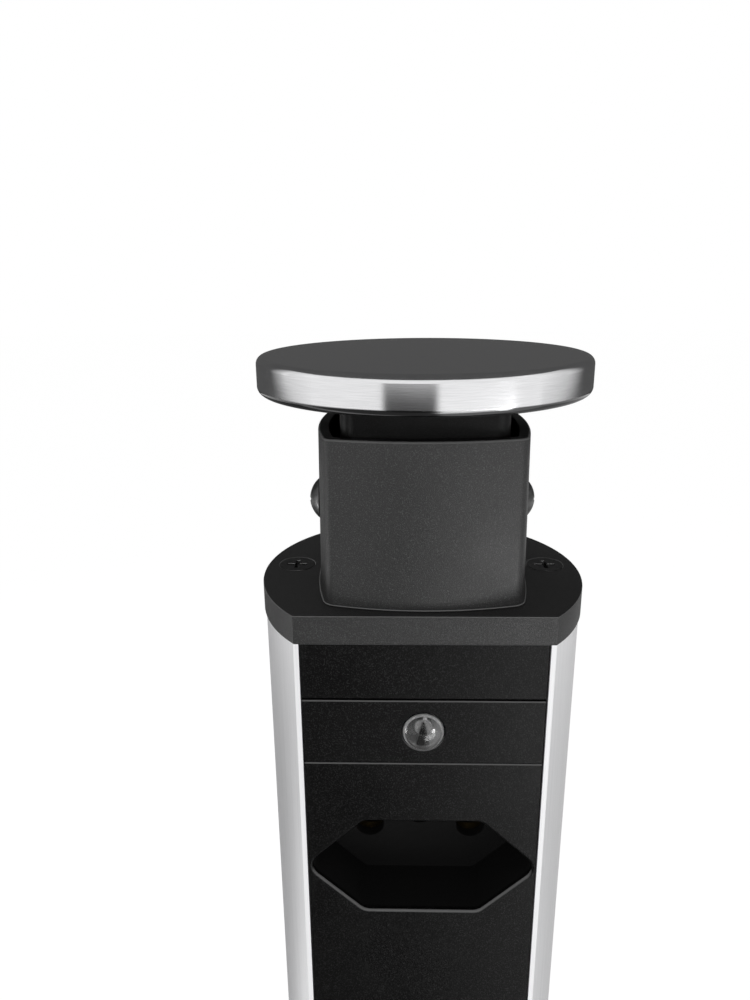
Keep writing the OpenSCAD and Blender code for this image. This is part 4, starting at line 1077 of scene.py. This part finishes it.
# Name, grey, place, size, way it faces, and whether its edges fade
CARDS = [
    ("front_card", 0.015, (-0.0247, -0.14, 0.1620), (0.088, 0.0748), (0, 1, 0), True),
    ("desk_card", 0.2, (-0.47, -0.62, CARD_Z), (1.06, 1.14), (0, 0, 1), False),
    ("back_card", 0.13, (-0.35, 1.555, CARD_Z), (1.0, 2.89), (0, 0, 1), False),
    ("side_card", 0.43, (0.50, 1.51, CARD_Z), (0.7, 2.98), (0, 0, 1), False),
]

# Name, watts, size, place, way it shines, and whether it lights surfaces and shows in reflections
LAMPS = [
    ("key", 6.8, (0.6, 0.6), (-0.05, -1.17, 0.60), (0.05, 1.17, -0.45), True, True),
    ("soft_back", 2.0, (0.6, 0.6), (-0.5, 0.6, 0.5), (0.5, -0.6, -0.42), True, False),
    ("top_gleam", 0.72, (0.16, 0.16), (0.10, -0.31, 0.75), (-0.1, 0.31, -0.6), False, True),
    ("right_gleam", 2.55, (0.58, 0.28), (0.36, -0.40, -0.10), (0, 1, 0), False, True),
    ("right_spot", 0.44, (0.1, 0.1), (0.49, -0.34, -0.16), (-0.49, 0.34, 0.31), False, True),
    ("left_gleam", 0.9, (0.1, 0.3), (-0.6, -0.05, -0.03), (1, 0, 0), False, True),
    ("left_band", 0.45, (0.16, 0.3), (-0.25, -0.45, 0.04), (0.25, 0.45, 0.14), False, True),
    ("lens_spot", 2.0, (0.17, 0.17), (0.446, -0.42, 0.136), (-0.446, 0.40, 0.015), False, True),
    ("desk_gleam", 2.7, (1.06, 1.14), (-0.47, -0.62, LAMP_Z), (0, 0, 1), False, True),
]

LENS_MM = 27.055
CLIP_NEAR = 0.005
CAMERA_AT = (-0.00454, -0.12525, 0.22457)
CAMERA_TURN = [math.radians(a) for a in (1.65, -17.20, 0.52)]


def stage_mesh(name, points, faces, material):
    mesh = bpy.data.meshes.new(name)
    mesh.from_pydata(points, [], faces)
    mesh.materials.append(material)
    thing = bpy.data.objects.new(name, mesh)
    bpy.context.scene.collection.objects.link(thing)
    return thing


def only_reflected(thing):
    thing.visible_camera = False
    thing.visible_diffuse = False
    thing.visible_shadow = False
    thing.visible_transmission = False


def link_light(light, things, state):
    """Lets a light reach only these things (INCLUDE), or everything but them (EXCLUDE)."""
    group = bpy.data.collections.new(light.name + "_lit")
    for thing in things:
        group.objects.link(thing)
    for row in group.collection_objects:
        row.light_linking.link_state = state
    light.light_linking.receiver_collection = group


def glow(name, level):
    material, tree, _ = new_material(name)
    light = add(tree, "ShaderNodeEmission", Strength=level)
    tree.links.new(light.outputs["Emission"], tree.nodes["Material Output"].inputs["Surface"])
    return material


def soft_card(name, level, size):
    """A dark glow whose edges fade into what lies behind the card."""
    material, tree, _ = new_material(name)
    parts = add(tree, "ShaderNodeSeparateXYZ")
    tree.links.new(place_of(tree), parts.inputs["Vector"])
    share = None
    for axis, width in zip("XY", size):
        away = add(tree, "ShaderNodeMath", operation="ABSOLUTE")
        tree.links.new(parts.outputs[axis], away.inputs[0])
        inside = spread(tree, away.outputs["Value"], 1, 0, width / 2 - CARD_FADE, width / 2)
        share = times(tree, share, inside) if share else inside
    mixed = add(tree, "ShaderNodeMixShader")
    tree.links.new(share, mixed.inputs["Fac"])
    tree.links.new(add(tree, "ShaderNodeBsdfTransparent").outputs["BSDF"], mixed.inputs[1])
    tree.links.new(add(tree, "ShaderNodeEmission", Strength=level).outputs["Emission"], mixed.inputs[2])
    tree.links.new(mixed.outputs["Shader"], tree.nodes["Material Output"].inputs["Surface"])
    return material


def seen_rays(tree):
    """1 for the rays that show the background: from the camera, reflected or through clear plastic."""
    path = add(tree, "ShaderNodeLightPath")
    total = path.outputs["Is Camera Ray"]
    for ray in ("Is Glossy Ray", "Is Transmission Ray"):
        both = add(tree, "ShaderNodeMath", operation="MAXIMUM")
        tree.links.new(total, both.inputs[0])
        tree.links.new(path.outputs[ray], both.inputs[1])
        total = both.outputs["Value"]
    return total


def add_world():
    world = bpy.data.worlds.new("white_room")
    world.use_nodes = True
    tree = world.node_tree
    sky = tree.nodes["Background"]
    sky.inputs["Color"].default_value = (1, 1, 1, 1)
    tree.links.new(spread(tree, seen_rays(tree), FILL, 1, 0, 1), sky.inputs["Strength"])
    bpy.context.scene.world = world


def add_floor():
    """White paper that glows for the camera and keeps a faint shadow."""
    material, tree, shader = new_material("white_floor")
    shader.inputs["Base Color"].default_value = (*grey(FLOOR_GREY), 1)
    shader.inputs["Roughness"].default_value = 1
    shader.inputs["Specular IOR Level"].default_value = 0
    light = add(tree, "ShaderNodeEmission", Strength=FLOOR_WHITE)
    mixed = add(tree, "ShaderNodeMixShader")
    tree.links.new(spread(tree, seen_rays(tree), 0, FLOOR_GLOW, 0, 1), mixed.inputs["Fac"])
    tree.links.new(shader.outputs["BSDF"], mixed.inputs[1])
    tree.links.new(light.outputs["Emission"], mixed.inputs[2])
    tree.links.new(mixed.outputs["Shader"], tree.nodes["Material Output"].inputs["Surface"])
    corners = [(x * FLOOR_HALF, y * FLOOR_HALF, FLOOR_Z) for x, y in SQUARE]
    stage_mesh("floor", corners, [(0, 1, 2, 3)], material)


def flag_mesh(name, r, around, rise, material):
    """Part of a sphere round the lid, between two bearings from behind and two heights, in degrees."""
    points, faces = [], []
    for i in range(FLAG_UP + 1):
        height = math.radians(rise[0] + (rise[1] - rise[0]) * i / FLAG_UP)
        for j in range(FLAG_ACROSS + 1):
            turn = math.radians(around[0] + (around[1] - around[0]) * j / FLAG_ACROSS)
            flat = r * math.cos(height)
            points.append((flat * math.sin(turn), flat * math.cos(turn), lid_high.z + r * math.sin(height)))
    for i in range(FLAG_UP):
        for j in range(FLAG_ACROSS):
            k = i * (FLAG_ACROSS + 1) + j
            faces.append((k, k + 1, k + FLAG_ACROSS + 2, k + FLAG_ACROSS + 1))
    only_reflected(stage_mesh(name, points, faces, material))


def fading_glow(name, fade):
    """Grey by bearing from behind, so a flag's two ends melt into the white room."""
    material, tree, _ = new_material(name)
    parts = add(tree, "ShaderNodeSeparateXYZ")
    tree.links.new(add(tree, "ShaderNodeNewGeometry").outputs["Position"], parts.inputs["Vector"])
    bearing = add(tree, "ShaderNodeMath", operation="ARCTAN2")
    tree.links.new(parts.outputs["X"], bearing.inputs[0])
    tree.links.new(parts.outputs["Y"], bearing.inputs[1])
    first, last = fade[0][0], fade[-1][0]
    slant = spread(tree, parts.outputs["Z"], FLAG_SLANT, 1, *SLANT_Z)
    slanted = times(tree, bearing.outputs["Value"], slant)
    share = spread(tree, slanted, 0, 1, math.radians(first), math.radians(last))
    ramp = add(tree, "ShaderNodeValToRGB")
    for k, (degrees, level) in enumerate(fade):
        place = (degrees - first) / (last - first)
        stops = ramp.color_ramp.elements
        stop = stops[0] if k == 0 else stops[-1] if k == len(fade) - 1 else stops.new(place)
        stop.position = place
        stop.color = (*grey(level), 1)
    tree.links.new(share, ramp.inputs["Fac"])
    light = add(tree, "ShaderNodeEmission")
    tree.links.new(ramp.outputs["Color"], light.inputs["Color"])
    tree.links.new(light.outputs["Emission"], tree.nodes["Material Output"].inputs["Surface"])
    return material


def add_flags():
    """The dark things round the part that its shiny surfaces show."""
    ends = (FLAG_FADE[0][0], FLAG_FADE[-1][0])
    flag_mesh("back_flag", FLAG_R, ends, (FLAG_LOW, FLAG_HIGH), fading_glow("flag_fade", FLAG_FADE))
    dark = glow("flag_grey", FLAG_GREY)
    flag_mesh("sky_flag", SKY_R, SKY_AROUND, (SKY_LOW, SKY_HIGH), dark)
    flag_mesh("zenith_flag", SKY_R, (0, 360), (SKY_HIGH - SKY_LAP, 90), dark)
    for name, level, at, (wide, tall), towards, fades in CARDS:
        corners = [(x * wide / 2, y * tall / 2, 0) for x, y in SQUARE]
        material = soft_card(name, level, (wide, tall)) if fades else glow(name, level)
        card = stage_mesh(name, corners, [(0, 1, 2, 3)], material)
        card.location = at
        card.rotation_euler = Vector(towards).to_track_quat("Z", "Y").to_euler()
        only_reflected(card)


def add_lamp(name, power, size, at, towards, diffuse, glossy):
    data = bpy.data.lights.new(name, "AREA")
    data.shape = "RECTANGLE"
    data.size, data.size_y = size
    data.energy = power
    lamp = bpy.data.objects.new(name, data)
    bpy.context.scene.collection.objects.link(lamp)
    lamp.visible_diffuse = diffuse
    lamp.visible_glossy = glossy
    lamp.visible_transmission = False
    lamp.location = at
    lamp.rotation_euler = Vector(towards).to_track_quat("-Z", "Y").to_euler()
    return lamp


def add_camera():
    yaw, pitch, roll = CAMERA_TURN
    turn = Matrix.Rotation(yaw, 3, "Z") @ Matrix.Rotation(pitch, 3, "X") @ Matrix.Rotation(roll, 3, "Y")
    right, ahead, up = turn.col
    data = bpy.data.cameras.new("camera")
    data.lens = LENS_MM
    data.clip_start = CLIP_NEAR
    camera = bpy.data.objects.new("camera", data)
    bpy.context.scene.collection.objects.link(camera)
    camera.matrix_world = Matrix.Translation(CAMERA_AT) @ Matrix((right, up, -ahead)).transposed().to_4x4()
    bpy.context.scene.camera = camera


add_world()
add_floor()
add_flags()
lamps = {row[0]: add_lamp(*row) for row in LAMPS}
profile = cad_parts["body_extrusion"]
link_light(lamps["key"], [lens, lid], "EXCLUDE")
link_light(lamps["top_gleam"], [lid, profile], "EXCLUDE")
link_light(lamps["right_gleam"], [profile], "EXCLUDE")
link_light(lamps["right_spot"], [lens, profile], "EXCLUDE")
link_light(lamps["left_gleam"], [lid, profile], "EXCLUDE")
link_light(lamps["left_band"], [lens, lid, profile], "EXCLUDE")
link_light(lamps["lens_spot"], [lens], "INCLUDE")
link_light(lamps["desk_gleam"], [profile], "INCLUDE")
add_camera()
bpy.context.scene.view_settings.view_transform = "Standard"
